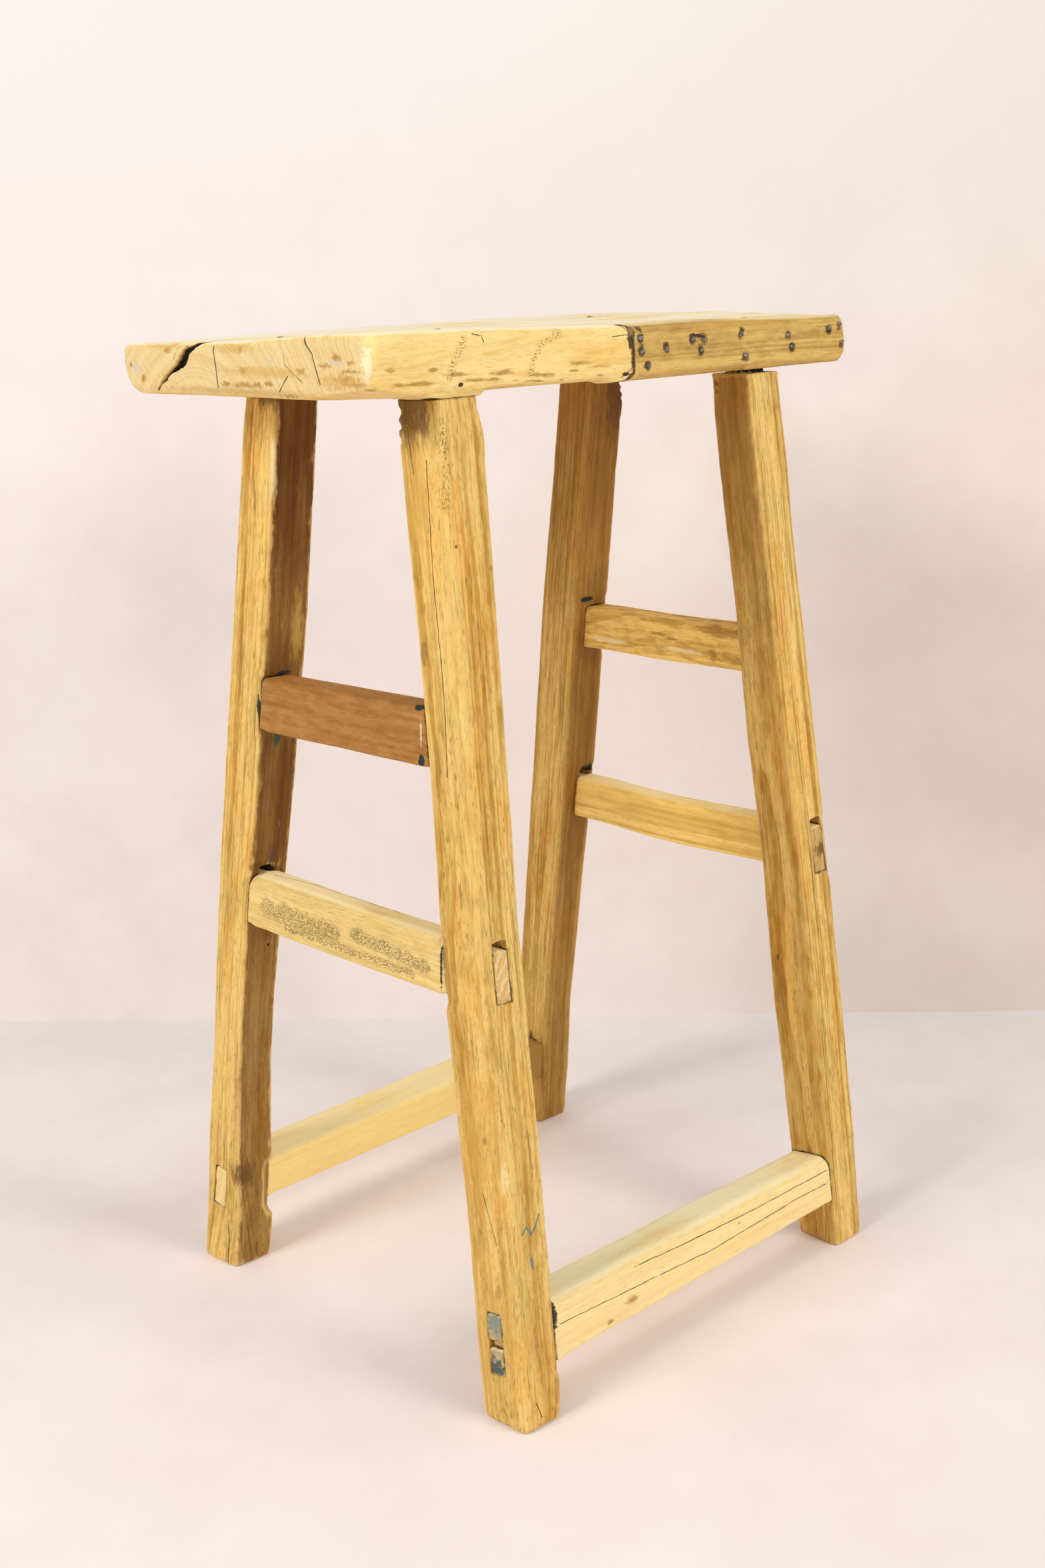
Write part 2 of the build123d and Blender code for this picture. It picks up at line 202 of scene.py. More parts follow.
# %% Wood grain group
# How often each pattern changes in a metre: twice across the timber, then along it.
DRIFT_SCALE, BAND_SCALE = (16, 16, 5), (85, 85, 4)
RIDGE_SCALE, BREAK_SCALE = (210, 210, 3.5), (70, 70, 12)
FINE_SCALE, COARSE_SCALE = (900, 900, 22), (330, 330, 7)
PORE_SCALE, FLECK_SCALE = (1300, 1300, 130), (170, 170, 60)


def make_grain_group():
    tree, given, result = new_group(
        "Timber grain",
        [("Grain", "Vector", (0, 0, 0)), ("Pith", "Vector", (0.05, 0.02, 0)),
         ("Ring gap", "Float", 0.004), ("Waver", "Float", 0.006), ("Seed", "Float", 0.0)],
        [(name, "Float") for name in ("Rings", "Bands", "Lines", "Fibres", "Pores", "Mottle")])
    place = moved(tree, given["Grain"], given["Seed"])
    slow = put(tree, "TexNoise", {"Vector": vectors(tree, "MULTIPLY", place, DRIFT_SCALE),
                                  "Scale": 1.0, "Detail": 4.0})
    drift = vectors(tree, "SUBTRACT", slow.outputs["Color"], (0.5, 0.5, 0.5))
    from_pith = vectors(tree, "SUBTRACT", given["Grain"], given["Pith"])
    bent = vectors(tree, "ADD", from_pith, scaled(tree, drift, given["Waver"]))
    radius = vectors(tree, "LENGTH", vectors(tree, "MULTIPLY", bent, (1, 1, 0)))
    count = maths(tree, "DIVIDE", radius, given["Ring gap"])
    uneven = put(tree, "TexNoise", {"W": maths(tree, "ADD", count, given["Seed"]), "Scale": 0.45,
                                    "Detail": 1.0}, noise_dimensions="1D").outputs["Fac"]
    turn = maths(tree, "FRACT", maths(tree, "ADD", count, maths(tree, "MULTIPLY", uneven, 3.0)))
    late = maths(tree, "MULTIPLY", ramp(tree, turn, 0.2, 0.88), ramp(tree, turn, 1.0, 0.94))
    fill(tree, result["Rings"], late)
    broad = noise(tree, place, 1.0, 3.0, 0.55, BAND_SCALE)
    fill(tree, result["Bands"], ramp(tree, broad, 0.36, 0.64))
    # A line is where slow noise crosses a half, and a second noise breaks it up.
    ridge = noise(tree, place, 1.0, 2.0, 0.5, RIDGE_SCALE)
    thin = ramp(tree, maths(tree, "ABSOLUTE", maths(tree, "SUBTRACT", ridge, 0.5)), 0.035, 0.008)
    broken = ramp(tree, noise(tree, place, 1.0, 3.0, 0.6, BREAK_SCALE), 0.45, 0.6)
    fill(tree, result["Lines"], maths(tree, "MULTIPLY", thin, broken))
    fine = noise(tree, place, 1.0, 4.0, 0.7, FINE_SCALE)
    coarse = noise(tree, place, 1.0, 3.0, 0.6, COARSE_SCALE)
    both = maths(tree, "ADD", maths(tree, "MULTIPLY", fine, 0.5), maths(tree, "MULTIPLY", coarse, 0.5))
    fill(tree, result["Fibres"], ramp(tree, both, 0.38, 0.62))
    early = maths(tree, "SUBTRACT", 1.1, late)
    dots = ramp(tree, noise(tree, place, 1.0, 1.0, 0.5, PORE_SCALE), 0.6, 0.68)
    fill(tree, result["Pores"], maths(tree, "MULTIPLY", dots, early, clamp=True))
    flecks = noise(tree, place, 1.0, 5.0, 0.65, FLECK_SCALE)
    fill(tree, result["Mottle"], ramp(tree, flecks, 0.36, 0.64))
    return tree


GRAIN = make_grain_group()
print(GRAIN.name, len(GRAIN.nodes), "nodes")

# %% [markdown]
# Old stains, patches of polish and dirt are all the same thing to a shader: noise cut off at some
# level, hard for a chipped edge or soft for a stain. A second group draws the marks that sit where a
# hand or a tool left them. How near each point is to a mark is worked out once on the mesh and kept
# as an attribute, and the group only frays that smooth egg into a ragged patch.

# %% Blotch and mark groups
# A mark is felt as far as this many times its own size; its attribute counts down from here.
MARK_REACH = 3.0


def make_blotch_group():
    tree, given, result = new_group(
        "Blotches",
        [("Vector", "Vector", (0, 0, 0)), ("Scale", "Vector", (20, 20, 20)), ("Level", "Float", 0.5),
         ("Softness", "Float", 0.1), ("Seed", "Float", 0.0)], [("Mask", "Float")])
    place = moved(tree, vectors(tree, "MULTIPLY", given["Vector"], given["Scale"]), given["Seed"])
    clouds = noise(tree, place, 1.0, 4.0, 0.6)
    high = maths(tree, "ADD", given["Level"], given["Softness"])
    fill(tree, result["Mask"], ramp(tree, clouds, given["Level"], high))
    return tree


def make_mark_group():
    tree, given, result = new_group(
        "Mark",
        [("Nearness", "Float", 0.0), ("Rough", "Float", 0.5), ("Ragged", "Float", 0.5),
         ("Softness", "Float", 0.4)], [("Mask", "Float")])
    distance = maths(tree, "SUBTRACT", MARK_REACH, given["Nearness"])
    swing = maths(tree, "MULTIPLY", maths(tree, "SUBTRACT", given["Rough"], 0.5),
                  maths(tree, "MULTIPLY", given["Ragged"], 4.0))
    reach = maths(tree, "ADD", distance, swing)
    inner = maths(tree, "SUBTRACT", 1.0, given["Softness"])
    fill(tree, result["Mask"], ramp(tree, reach, 1.0, inner))
    return tree


BLOTCH = make_blotch_group()
MARK = make_mark_group()


# %% [markdown]
# A drying crack is a thin dark line with a little wander, thick in its middle and thin at its ends;
# its darkness is painted shade, the shade inside the crack.
# It could be cut into the mesh, but a crack a third of a millimetre wide needs a finer mesh than a
# leg can have. So each straight run of a crack is a shader group: the distance to a line between two
# points, with the direction into the wood nearly left out, so that the mark stays on the surface.

# %% Crack group
def make_crack_group():
    tree, given, result = new_group(
        "Crack run",
        [("Vector", "Vector", (0, 0, 0)), ("Sway", "Vector", (0, 0, 0)), ("Thick", "Float", 0.5),
         ("From", "Vector", (0, 0, 0)), ("To", "Vector", (0, 0, 1)), ("Flatten", "Vector", (1, 1, 1)),
         ("Width", "Float", 0.0005), ("Wander", "Float", 0.001)], [("Mask", "Float")])
    flat = given["Flatten"]
    from_start = vectors(tree, "SUBTRACT", given["Vector"], given["From"])
    place = vectors(tree, "ADD", vectors(tree, "MULTIPLY", from_start, flat),
                    scaled(tree, given["Sway"], given["Wander"]))
    run = vectors(tree, "MULTIPLY", vectors(tree, "SUBTRACT", given["To"], given["From"]), flat)
    share = maths(tree, "DIVIDE", vectors(tree, "DOT_PRODUCT", place, run),
                  vectors(tree, "DOT_PRODUCT", run, run), clamp=True)
    distance = vectors(tree, "LENGTH", vectors(tree, "SUBTRACT", place, scaled(tree, run, share)))
    width = maths(tree, "MULTIPLY", given["Width"], maths(tree, "ADD", given["Thick"], 0.5))
    half = maths(tree, "MULTIPLY", width, 0.45)
    fill(tree, result["Mask"], ramp(tree, distance, width, half))
    return tree


CRACK = make_crack_group()

# %% [markdown]
# Every timber becomes a worn copy of its solid. A real arris isn't a clean round: it has been
# rubbed, knocked and planed by hand, more here and less there. The copy is skinned with small even
# squares by the Remesh modifier and pulled back onto the solid with Shrinkwrap, so that flat faces
# stay true. Then the points are moved in code, as a carver would work over the piece.

# %% Fine skin over a solid
SAME_POINT = 0.01 * MM


def merged_body(node):
    """The node's solid as a bmesh, its loose triangles joined up. The node itself isn't touched."""
    body = bmesh.new()
    body.from_mesh(node.data)
    bmesh.ops.remove_doubles(body, verts=body.verts, dist=SAME_POINT)
    return body


def add_object(name, data):
    made = bpy.data.objects.new(name, data)
    bpy.context.scene.collection.objects.link(made)
    return made


def object_from(name, body):
    """Turns a finished bmesh into an object, and frees the bmesh."""
    mesh = bpy.data.meshes.new(name)
    body.to_mesh(mesh)
    body.free()
    return add_object(name, mesh)


def shade_smooth(piece):
    piece.data.polygons.foreach_set("use_smooth", [True] * len(piece.data.polygons))


def apply_modifiers(piece):
    """Swaps the piece's mesh for the one that its modifiers make."""
    bpy.context.view_layer.update()
    graph = bpy.context.evaluated_depsgraph_get()
    made = bpy.data.meshes.new_from_object(piece.evaluated_get(graph))
    piece.modifiers.clear()
    piece.data = made
    made.name = piece.name


# %% Reading and moving a skin's points
def read_points(mesh):
    flat = np.zeros(len(mesh.vertices) * 3)
    mesh.vertices.foreach_get("co", flat)
    return flat.reshape(-1, 3)


def read_normals(mesh):
    flat = np.zeros(len(mesh.vertices) * 3, np.float32)
    mesh.vertex_normals.foreach_get("vector", flat)
    return flat.reshape(-1, 3).astype(float)


def write_points(mesh, points):
    mesh.vertices.foreach_set("co", points.ravel())
    mesh.update()


def relaxed(points, mesh, passes):
    """The points, each drawn half way to the middle of its neighbours, pass after pass."""
    ends = np.zeros(len(mesh.edges) * 2, np.int32)
    mesh.edges.foreach_get("vertices", ends)
    a, b = ends.reshape(-1, 2).T
    total = len(points)
    neighbours = np.bincount(a, minlength=total) + np.bincount(b, minlength=total)
    neighbours = np.maximum(neighbours, 1)
    for _ in range(max(1, round(passes / DETAIL ** 2))):
        middle = np.stack([(np.bincount(a, points[b, k], total) + np.bincount(b, points[a, k], total))
                           / neighbours for k in range(3)], axis=1)
        points = (points + middle) / 2
    return points


def cloud(places, size, seed):
    """Smooth noise from -1 to 1 that changes over about `size` in each direction."""
    table = np.random.default_rng(seed).uniform(-1, 1, 4096)
    cell = places / np.asarray(size)
    corner = np.floor(cell).astype(np.int64)
    step = cell - corner
    step = step * step * (3 - 2 * step)
    total = np.zeros(len(places))
    for side in itertools.product((0, 1), repeat=3):
        x, y, z = (corner + side).T
        key = ((x * 73856093) ^ (y * 19349663) ^ (z * 83492791)) & 4095
        total += table[key] * np.prod(np.where(side, step, 1 - step), axis=1)
    return total


def soft_step(value, low, high):
    share = np.clip((value - low) / (high - low), 0, 1)
    return share * share * (3 - 2 * share)


def split_squares(piece, chosen):
    """Splits every edge whose two ends are both chosen, which halves the squares there."""
    body = bmesh.new()
    body.from_mesh(piece.data)
    body.verts.ensure_lookup_table()
    edges = [e for e in body.edges if chosen[e.verts[0].index] and chosen[e.verts[1].index]]
    bmesh.ops.subdivide_edges(body, edges=edges, cuts=1, use_grid_fill=True)
    body.to_mesh(piece.data)
    body.free()


# %% [markdown]
# Grain has to run with each timber, whichever way the timber leans. Each skin therefore carries its
# own coordinates as an attribute: two across the timber and one along it, in metres. More attributes
# say where the wood stands proud, how near a joint is, where the finish paints dirt and shade, which
# way is up, and which faces look at the inside of the stool. Those inner faces kept their old smoke
# and polish and are darker, and near the seat painted shade of the seat darkens them further, so two
# short lists give their darkness at a few heights.

# %% Attributes that the finishes read
UP = np.array((0.0, 0.0, 1.0))
# Darkness of the inner faces at each height: old polish, deepened towards the seat by painted shade of the
# seat.
INNER_FACES_ALONG_X = ((0, 0.04), (250, 0.10), (450, 0.18), (600, 0.60), (662, 0.86))
INNER_FACES_ALONG_Y = ((0, 0.68), (150, 0.70), (300, 0.86), (600, 0.95), (662, 1.0))


def timber_axes(points, along):
    """Three directions of a timber: two across it, and the one that runs with its grain."""
    centred = points - points.mean(0)
    near = np.asarray(along, float)
    main = np.linalg.svd(centred[:: max(1, len(points) // 4000)], full_matrices=False)[2][0]
    direction = main * np.sign(main @ near) if abs(main @ near) > 0.9 else near
    direction = direction / np.linalg.norm(direction)
    first = np.cross(UP if abs(direction @ UP) < 0.7 else np.array((0.0, 1.0, 0.0)), direction)
    first /= np.linalg.norm(first)
    return np.stack([first, np.cross(direction, first), direction])


def add_attribute(mesh, name, kind, values):
    attribute = mesh.attributes.get(name) or mesh.attributes.new(name, kind, "POINT")
    attribute.data.foreach_set("vector" if kind == "FLOAT_VECTOR" else "value",
                               np.ascontiguousarray(values, np.float32).ravel())


def solid_trees():
    """A search tree and a box for each solid, to measure how near a neighbour is."""
    trees = {}
    for name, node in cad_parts.items():
        body = merged_body(node)
        low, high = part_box(name)
        trees[name] = (BVHTree.FromBMesh(body), np.array(low), np.array(high))
        body.free()
    return trees


SOLIDS = solid_trees()
JOINT_REACH = 14 * MM
print(len(SOLIDS), "solids to measure from")


def nearness(points, own_nodes):
    """1 where a point touches another piece's solid, and 0 at JOINT_REACH or more."""
    near = np.zeros(len(points))
    for name, (tree, low, high) in SOLIDS.items():
        if name in own_nodes:
            continue
        inside = np.all((points > low - JOINT_REACH) & (points < high + JOINT_REACH), axis=1)
        for i in np.nonzero(inside)[0]:
            found = tree.find_nearest(points[i], JOINT_REACH)[3]
            if found is not None:
                near[i] = max(near[i], 1 - found / JOINT_REACH)
    return near


# %% Fine skin, finer still by the joints
def lay_on_solid(piece, node):
    wrap = piece.modifiers.new("back to the solid", "SHRINKWRAP")
    wrap.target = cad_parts[node]
    wrap.wrap_method = "NEAREST_SURFACEPOINT"
    apply_modifiers(piece)


def fine_skin(name, node, square, joint_squares=0.74):
    """A worn timber's mesh: squares of this size in mm, halved where nearness tops joint_squares."""
    piece = object_from(name, merged_body(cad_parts[node]))
    skin = piece.modifiers.new("skin", "REMESH")
    skin.mode = "VOXEL"
    skin.voxel_size = square * DETAIL * MM
    lay_on_solid(piece, node)
    if joint_squares < 1:
        split_squares(piece, nearness(read_points(piece.data), [node]) > joint_squares)
        lay_on_solid(piece, node)
    add_attribute(piece.data, "nook", "FLOAT", nearness(read_points(piece.data), [node]))
    return piece


def read_nook(piece):
    flat = np.zeros(len(piece.data.vertices), np.float32)
    piece.data.attributes["nook"].data.foreach_get("value", flat)
    return flat.astype(float)


def away_from_joints(piece):
    """1 in the open and 0 within a few millimetres of a neighbour, where a fit must stay a fit."""
    return 1 - soft_step(read_nook(piece), 0.45, 0.8)


# %% Attributes of a finished skin
PROUD_PASSES, FULLY_PROUD = 14, 0.9 * MM


def dress_attributes(piece, axes, origin):
    mesh = piece.data
    points, normals = read_points(mesh), read_normals(mesh)
    add_attribute(mesh, "grain", "FLOAT_VECTOR", (points - origin) @ axes.T)
    proud = ((points - relaxed(points, mesh, PROUD_PASSES)) * normals).sum(1)
    add_attribute(mesh, "proud", "FLOAT", np.clip(proud / FULLY_PROUD, 0, 1))
    outward = normals[:, :2] * np.sign(points[:, :2])
    upright = soft_step(np.linalg.norm(normals[:, :2], axis=1), 0.3, 0.7)
    facing = upright * soft_step(-outward.min(1) - outward.max(1), -0.15, 0.3)
    along_x = np.abs(normals[:, 0]) / np.maximum(np.abs(normals[:, :2]).sum(1), 0.05)
    height = points[:, 2] / MM
    # Old polish on the inner faces, with painted shade of the seat that deepens towards its underside.
    age_and_seat_shade = (along_x * np.interp(height, *zip(*INNER_FACES_ALONG_X))
           + (1 - along_x) * np.interp(height, *zip(*INNER_FACES_ALONG_Y)))
    add_attribute(mesh, "inner", "FLOAT", facing * age_and_seat_shade)
    add_attribute(mesh, "sky", "FLOAT", normals[:, 2])
    add_attribute(mesh, "end", "FLOAT", np.abs(normals @ axes[2]))


# %% [markdown]
# The carver's moves are few. Arrises are rubbed down unevenly, faces swell and hollow a little along
# the grain, small dents and chips are pressed in, and a plane may take off a corner. The last move
# keeps every point inside the solid's own box, or for a crooked timber a few millimetres more, and
# always inside the stool's box, because the stool's size isn't this script's to change.

# %% Carving moves
DENT_SEED, STROKE_SEED, STROKE_WAVER = 5, 3, 0.4 * MM


def reaches_from(points, place, reach):
    """How far each point is from a place, counted in the reach that each direction has."""
    return np.linalg.norm((points - np.asarray(place) * MM) / (np.asarray(reach) * MM), axis=1)


def rub_arrises(piece, axes, passes, least, most, seed):
    """Draws the arrises in, from the share `least` to `most` as slow noise along the grain says."""
    points = read_points(piece.data)
    worn = relaxed(points, piece.data, passes)
    along = points @ axes.T
    share = 0.5 + 0.5 * cloud(along, (30 * MM, 30 * MM, 55 * MM), seed)
    share = least + (most - least) * np.clip(share + 0.35 * cloud(along, 12 * MM, seed + 1), 0, 1)
    share = share * away_from_joints(piece)
    write_points(piece.data, points + (worn - points) * share[:, None])


def swell(piece, axes, height, size, seed):
    """Lifts and hollows the surface by up to `height`, over lengths of `size` along each axis."""
    points, normals = read_points(piece.data), read_normals(piece.data)
    lift = height * cloud(points @ axes.T, size, seed) * away_from_joints(piece)
    write_points(piece.data, points + normals * lift[:, None])


def soften(piece, place, reach, passes):
    """Wears one corner right down, inside `reach` of a place."""
    points = read_points(piece.data)
    near = 1 - soft_step(reaches_from(points, place, reach), 0.4, 1.0)
    share = (near * away_from_joints(piece))[:, None]
    write_points(piece.data, points + (relaxed(points, piece.data, passes) - points) * share)


def press(piece, place, reach, depth):
    """A dent: pushes the surface in round a place, by depth at its middle."""
    points, normals = read_points(piece.data), read_normals(piece.data)
    distance = reaches_from(points, place, reach) + 0.25 * cloud(points, 4 * MM, DENT_SEED)
    dip = depth * MM * (1 - soft_step(distance, 0.2, 1.0))
    write_points(piece.data, points - normals * dip[:, None])


def shave(piece, place, facing):
    """A plane stroke: points that stand out past a flat through place are laid onto it."""
    points = read_points(piece.data)
    facing = np.asarray(facing, float) / np.linalg.norm(facing)
    waver = STROKE_WAVER * cloud(points, 9 * MM, STROKE_SEED)
    out = (points - np.asarray(place) * MM) @ facing + waver
    write_points(piece.data, points - facing * np.maximum(out, 0)[:, None])


# %% Carving moves for the seat's top and underside
REAR_LEFT_CORNER, FRONT_RIGHT_CORNER, FRONT_LEFT_CORNER = (-236, 158), (236, -96), (-236, -96)
# For each corner of the seat's top: how far its wear reaches along x and y, and how deep it goes.
TOP_WEAR = ((REAR_LEFT_CORNER, (300, 230), 3.0), (FRONT_RIGHT_CORNER, (200, 140), 3.3),
            (FRONT_LEFT_CORNER, (230, 150), -5.4))
# Heights between which each part of the plank fades out, in millimetres.
UPPER_PART, LOW_ARRIS, LOW_PART = (676, 703), (666, 676), (664, 684)
LIFT_FADE = 100


def settle_top(piece):
    """Lets the seat's top, and what ends flush with it, drop or stay high towards its corners."""
    points = read_points(piece.data)
    upper = soft_step(points[:, 2] / MM, *UPPER_PART)
    for corner, reach, depth in TOP_WEAR:
        share = 1 - soft_step(reaches_from(points[:, :2], corner, reach), 0, 1)
        points[:, 2] -= depth * MM * share * upper
    write_points(piece.data, points)


def round_low_edge(piece, passes, lift, lift_ends):
    """Wears the plank's low arris into a soft roll, and its underside up by lift as far as lift_ends."""
    points = read_points(piece.data)
    open_wood = away_from_joints(piece)
    share = (1 - soft_step(points[:, 2] / MM, *LOW_ARRIS)) * open_wood
    points = points + (relaxed(points, piece.data, passes) - points) * share[:, None]
    low = (1 - soft_step(points[:, 2] / MM, *LOW_PART)) * open_wood
    lifted = 1 - soft_step(points[:, 0] / MM, lift_ends - LIFT_FADE, lift_ends)
    points[:, 2] += lift * MM * low * lifted
    write_points(piece.data, points)


# %% The last moves on any timber
def keep_in_box(piece, nodes, lean=0.0):
    """Lays points that have wandered out of the nodes' own box, widened by lean, back onto it."""
    low = np.maximum(np.min([SOLIDS[n][1] for n in nodes], axis=0) - lean, CAD_BOX[0])
    high = np.minimum(np.max([SOLIDS[n][2] for n in nodes], axis=0) + lean, CAD_BOX[1])
    write_points(piece.data, np.clip(read_points(piece.data), low, high))


CARVED = {}


def finish_timber(piece, node, axes, lean=0.0):
    """The last steps of any timber: box, attributes, and which solid it stands for."""
    keep_in_box(piece, [node], lean)
    dress_attributes(piece, axes, np.mean(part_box(node), axis=0))
    shade_smooth(piece)
    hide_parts(node)
    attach(piece, "root")
    CARVED[node] = piece
    print(piece.name, len(piece.data.polygons), "squares")


# %% [markdown]
# No leg is straight. Each wanders a few millimetres where the tree did, or where the drawknife bit,
# and the rear left foot curls inwards. The wander was read off the two outer arrises at a handful of
# heights, so it is a short list of (height, wander) for each arris, in millimetres, to the right as
# the camera sees it. Between the arrises the wander is blended across the leg. A stretcher's end
# follows its leg along its own length only, so that every tenon still meets its mortise and ends
# flush with the leg's face.

# %% How each leg wanders
LEG_WANDER = {
    "leg_rear_left": (
        ((0, 5.5), (102, 3.3), (158, 2.6), (267, 0.2), (371, -0.4), (564, -0.8), (650, -0.5)),
        ((0, 10.2), (40, 9.6), (102, 3.4), (159, -0.5), (214, -1.6), (320, 0.8), (345, 1.8),
         (396, 2.8), (517, 3.4), (608, 1.1), (650, 0.4))),
    "leg_front_left": (
        ((0, -2.1), (20, -2.9), (105, -2.4), (149, -1.7), (194, -2.6), (239, -3.2), (275, -4.0),
         (300, -4.2), (378, -1.2), (496, -0.2), (578, -1.1), (650, -1.7)),
        ((0, 3.1), (31, 4.4), (118, 3.1), (159, 2.8), (348, 0.5), (496, 1.9), (578, 2.7),
         (620, 2.7), (650, 3.9))),
    "leg_rear_right": (
        ((0, -0.5), (241, -1.3), (421, -1.9), (477, -1.9), (586, -0.1), (650, 0.4)),
        ((0, 1.2), (46, 0.8), (113, -1.6), (178, -0.7), (272, 1.6), (339, 3.4), (414, 2.7),
         (532, 2.3), (585, 1.5), (650, 2.9))),
    "leg_front_right": (
        ((0, -0.7), (93, -0.9), (191, -2.1), (296, 0.1), (399, -1.6), (499, -0.7), (596, -1.4),
         (650, -1.2)),
        ((0, 0.4), (27, 0.9), (82, 2.6), (191, 2.8), (296, 3.1), (399, 1.5), (498, 1.0),
         (547, 0.6), (596, 1.1), (650, -0.2))),
}
FOOT_CREEP = {"leg_rear_left": ((0, 6.0), (25, 3.5), (60, 0.5), (90, 0.0))}
STRAIGHT = ((0, 0.0), (650, 0.0))
CROOKED = 5 * MM  # how far crooked wood may leave the box of its own solid
SEEN_WIDTH = 48 * MM  # a leg cornerwise, from one outer arris to the other
SEAT_UNDERSIDE = 662 * MM
LOW_RAILS_TOP = 150 * MM  # below it the tenons run along x, and above it along y
TO_THE_RIGHT, TO_THE_CAMERA = np.array(level_right), -np.array((forward.x, forward.y, 0.0))


def leg_line(node):
    """The middle of a leg's foot, and how far the leg leans for each metre of height."""
    points = read_points(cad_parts[node].data)
    foot = points[points[:, 2] < 0.5 * MM].mean(0)
    head = points[points[:, 2] > points[:, 2].max() - 4 * MM].mean(0)
    return foot, (head - foot) / (head - foot)[2]


LEG_LINES = {node: leg_line(node) for node in LEG_WANDER}


def leg_shift(node, points):
    """How far the wood of a leg has wandered from its straight solid at each point."""
    foot, lean = LEG_LINES[node]
    left, right = LEG_WANDER[node]
    middle = foot + lean * points[:, 2:3]
    share = np.clip((points - middle) @ TO_THE_RIGHT / SEEN_WIDTH + 0.5, 0, 1)
    height = points[:, 2] / MM
    sideways = (1 - share) * np.interp(height, *zip(*left)) + share * np.interp(height, *zip(*right))
    nearer = np.interp(height, *zip(*FOOT_CREEP.get(node, STRAIGHT)))
    fade = 1 - soft_step(points[:, 2], SEAT_UNDERSIDE - 30 * MM, SEAT_UNDERSIDE - 2 * MM)
    shift = sideways[:, None] * TO_THE_RIGHT + nearer[:, None] * TO_THE_CAMERA
    return shift * (fade * MM)[:, None]


def wander(piece, node):
    """Moves a leg's skin; beside a tenon only along that tenon, so that its mortise still fits."""
    points = read_points(piece.data)
    shift = leg_shift(node, points)
    free = 1 - soft_step(read_nook(piece), 0.25, 0.7)
    low = points[:, 2] < LOW_RAILS_TOP
    shift[low, 1] *= free[low]
    shift[~low, 0] *= free[~low]
    write_points(piece.data, points + shift)


# %% Legs
LEG_SQUARE = 1.45
# How far a foot's wear reaches, and its passes; the front left leg is worn far up besides.
FOOT_WEAR, LEFT_FOOT_WEAR = ((48, 48, 12), 7), ((60, 60, 300), 16)


def carve_leg(node, seed):
    piece = fine_skin("worn_" + node, node, LEG_SQUARE)
    axes = timber_axes(read_points(piece.data), UP)
    rub_arrises(piece, axes, 12, 0.1, 0.7, seed)
    foot = LEG_LINES[node][0] / MM
    soften(piece, foot, *FOOT_WEAR)
    if node == "leg_front_left":
        soften(piece, foot, *LEFT_FOOT_WEAR)
    wander(piece, node)
    swell(piece, axes, 0.5 * MM, (26 * MM, 26 * MM, 75 * MM), seed + 2)
    swell(piece, axes, 0.25 * MM, (7 * MM, 7 * MM, 30 * MM), seed + 3)
    settle_top(piece)
    return piece, axes


LEGS = {}
for seed, node in enumerate(sorted(LEG_WANDER)):
    LEGS[node] = carve_leg(node, 100 + 10 * seed)

# %% [markdown]
# Knocks and notches that the photograph shows on the legs are pressed in one by one: the chewed edge
# high on the front left leg, the small notch on the rear right one, a knot hole, and the rubbed feet.

# %% Knocks on the legs
LEG_KNOCKS = {
    "leg_front_left": (
        ((-183.5, -60.5, 652), (5, 5, 4), 3.2), ((-183.5, -60.5, 643), (4.5, 4.5, 3.5), 2.4),
        ((-184, -61, 634), (4, 4, 3.5), 1.4), ((-186, -92, 612), (4, 4, 9), 0.9),
        ((-199, -160, 6), (8, 8, 9), 1.6), ((-160, -178, 5), (7, 7, 8), 1.8)),
    "leg_rear_right": (
        ((155, 60, 650.5), (4.5, 4.5, 3), 2.2), ((155, 60.3, 645), (4.5, 4.5, 2.8), 2.0),
        ((155.4, 61, 639), (4.5, 4.5, 3.2), 2.2), ((156, 63.5, 622), (4, 4, 8), 1.0)),
    "leg_rear_left": (
        ((-172.1, 109.4, 262.1), (2.6, 2.6, 3.2), 2.5), ((-196, 168, 8), (7, 7, 10), 1.5)),
    "leg_front_right": (
        ((120, -62.4, 655.5), (4.5, 4.5, 2.8), 2.2), ((120.2, -63, 650), (4.5, 4.5, 2.6), 2.0),
        ((120.5, -64, 642), (4, 4, 6), 1.2), ((175, -172, 6), (7, 7, 9), 2.0)),
}
for node, (piece, axes) in LEGS.items():
    for place, reach, depth in LEG_KNOCKS[node]:
        press(piece, place, reach, depth)
    finish_timber(piece, node, axes, CROOKED)

# %% [markdown]
# The stretchers came from different stock at different times. All get the same treatment in lesser
# or greater measure: the two low rails have their top arrises rubbed nearly round by feet. One table
# holds the legs that each one joins, the size of its squares, how long its arrises are rubbed, how
# much its faces swell and its wood, so that one function can carve them all.

# %% Stretchers
ALONG_X, ALONG_Y = 0, 1
LEFT_LEGS, RIGHT_LEGS = ("leg_front_left", "leg_rear_left"), ("leg_front_right", "leg_rear_right")
FRONT_LEGS, REAR_LEGS = ("leg_front_left", "leg_front_right"), ("leg_rear_left", "leg_rear_right")
STRETCHERS = {
    "left_upper_stretcher": (ALONG_Y, LEFT_LEGS, 1.2, 5, 0.25, "replacement_wood"),
    "left_lower_stretcher": (ALONG_Y, LEFT_LEGS, 1.2, 12, 0.35, "stretcher_wood"),
    "right_upper_stretcher": (ALONG_Y, RIGHT_LEGS, 1.2, 6, 0.3, "dark_stretcher_wood"),
    "right_lower_stretcher": (ALONG_Y, RIGHT_LEGS, 1.2, 6, 0.3, "stretcher_wood"),
    "front_stretcher": (ALONG_X, FRONT_LEGS, 1.35, 18, 0.5, "pale_stretcher_wood"),
    "rear_stretcher": (ALONG_X, REAR_LEGS, 1.35, 10, 0.4, "pale_stretcher_wood"),
}
SAG = {"right_lower_stretcher": 2.4, "right_upper_stretcher": 0.8, "left_lower_stretcher": 0.6}
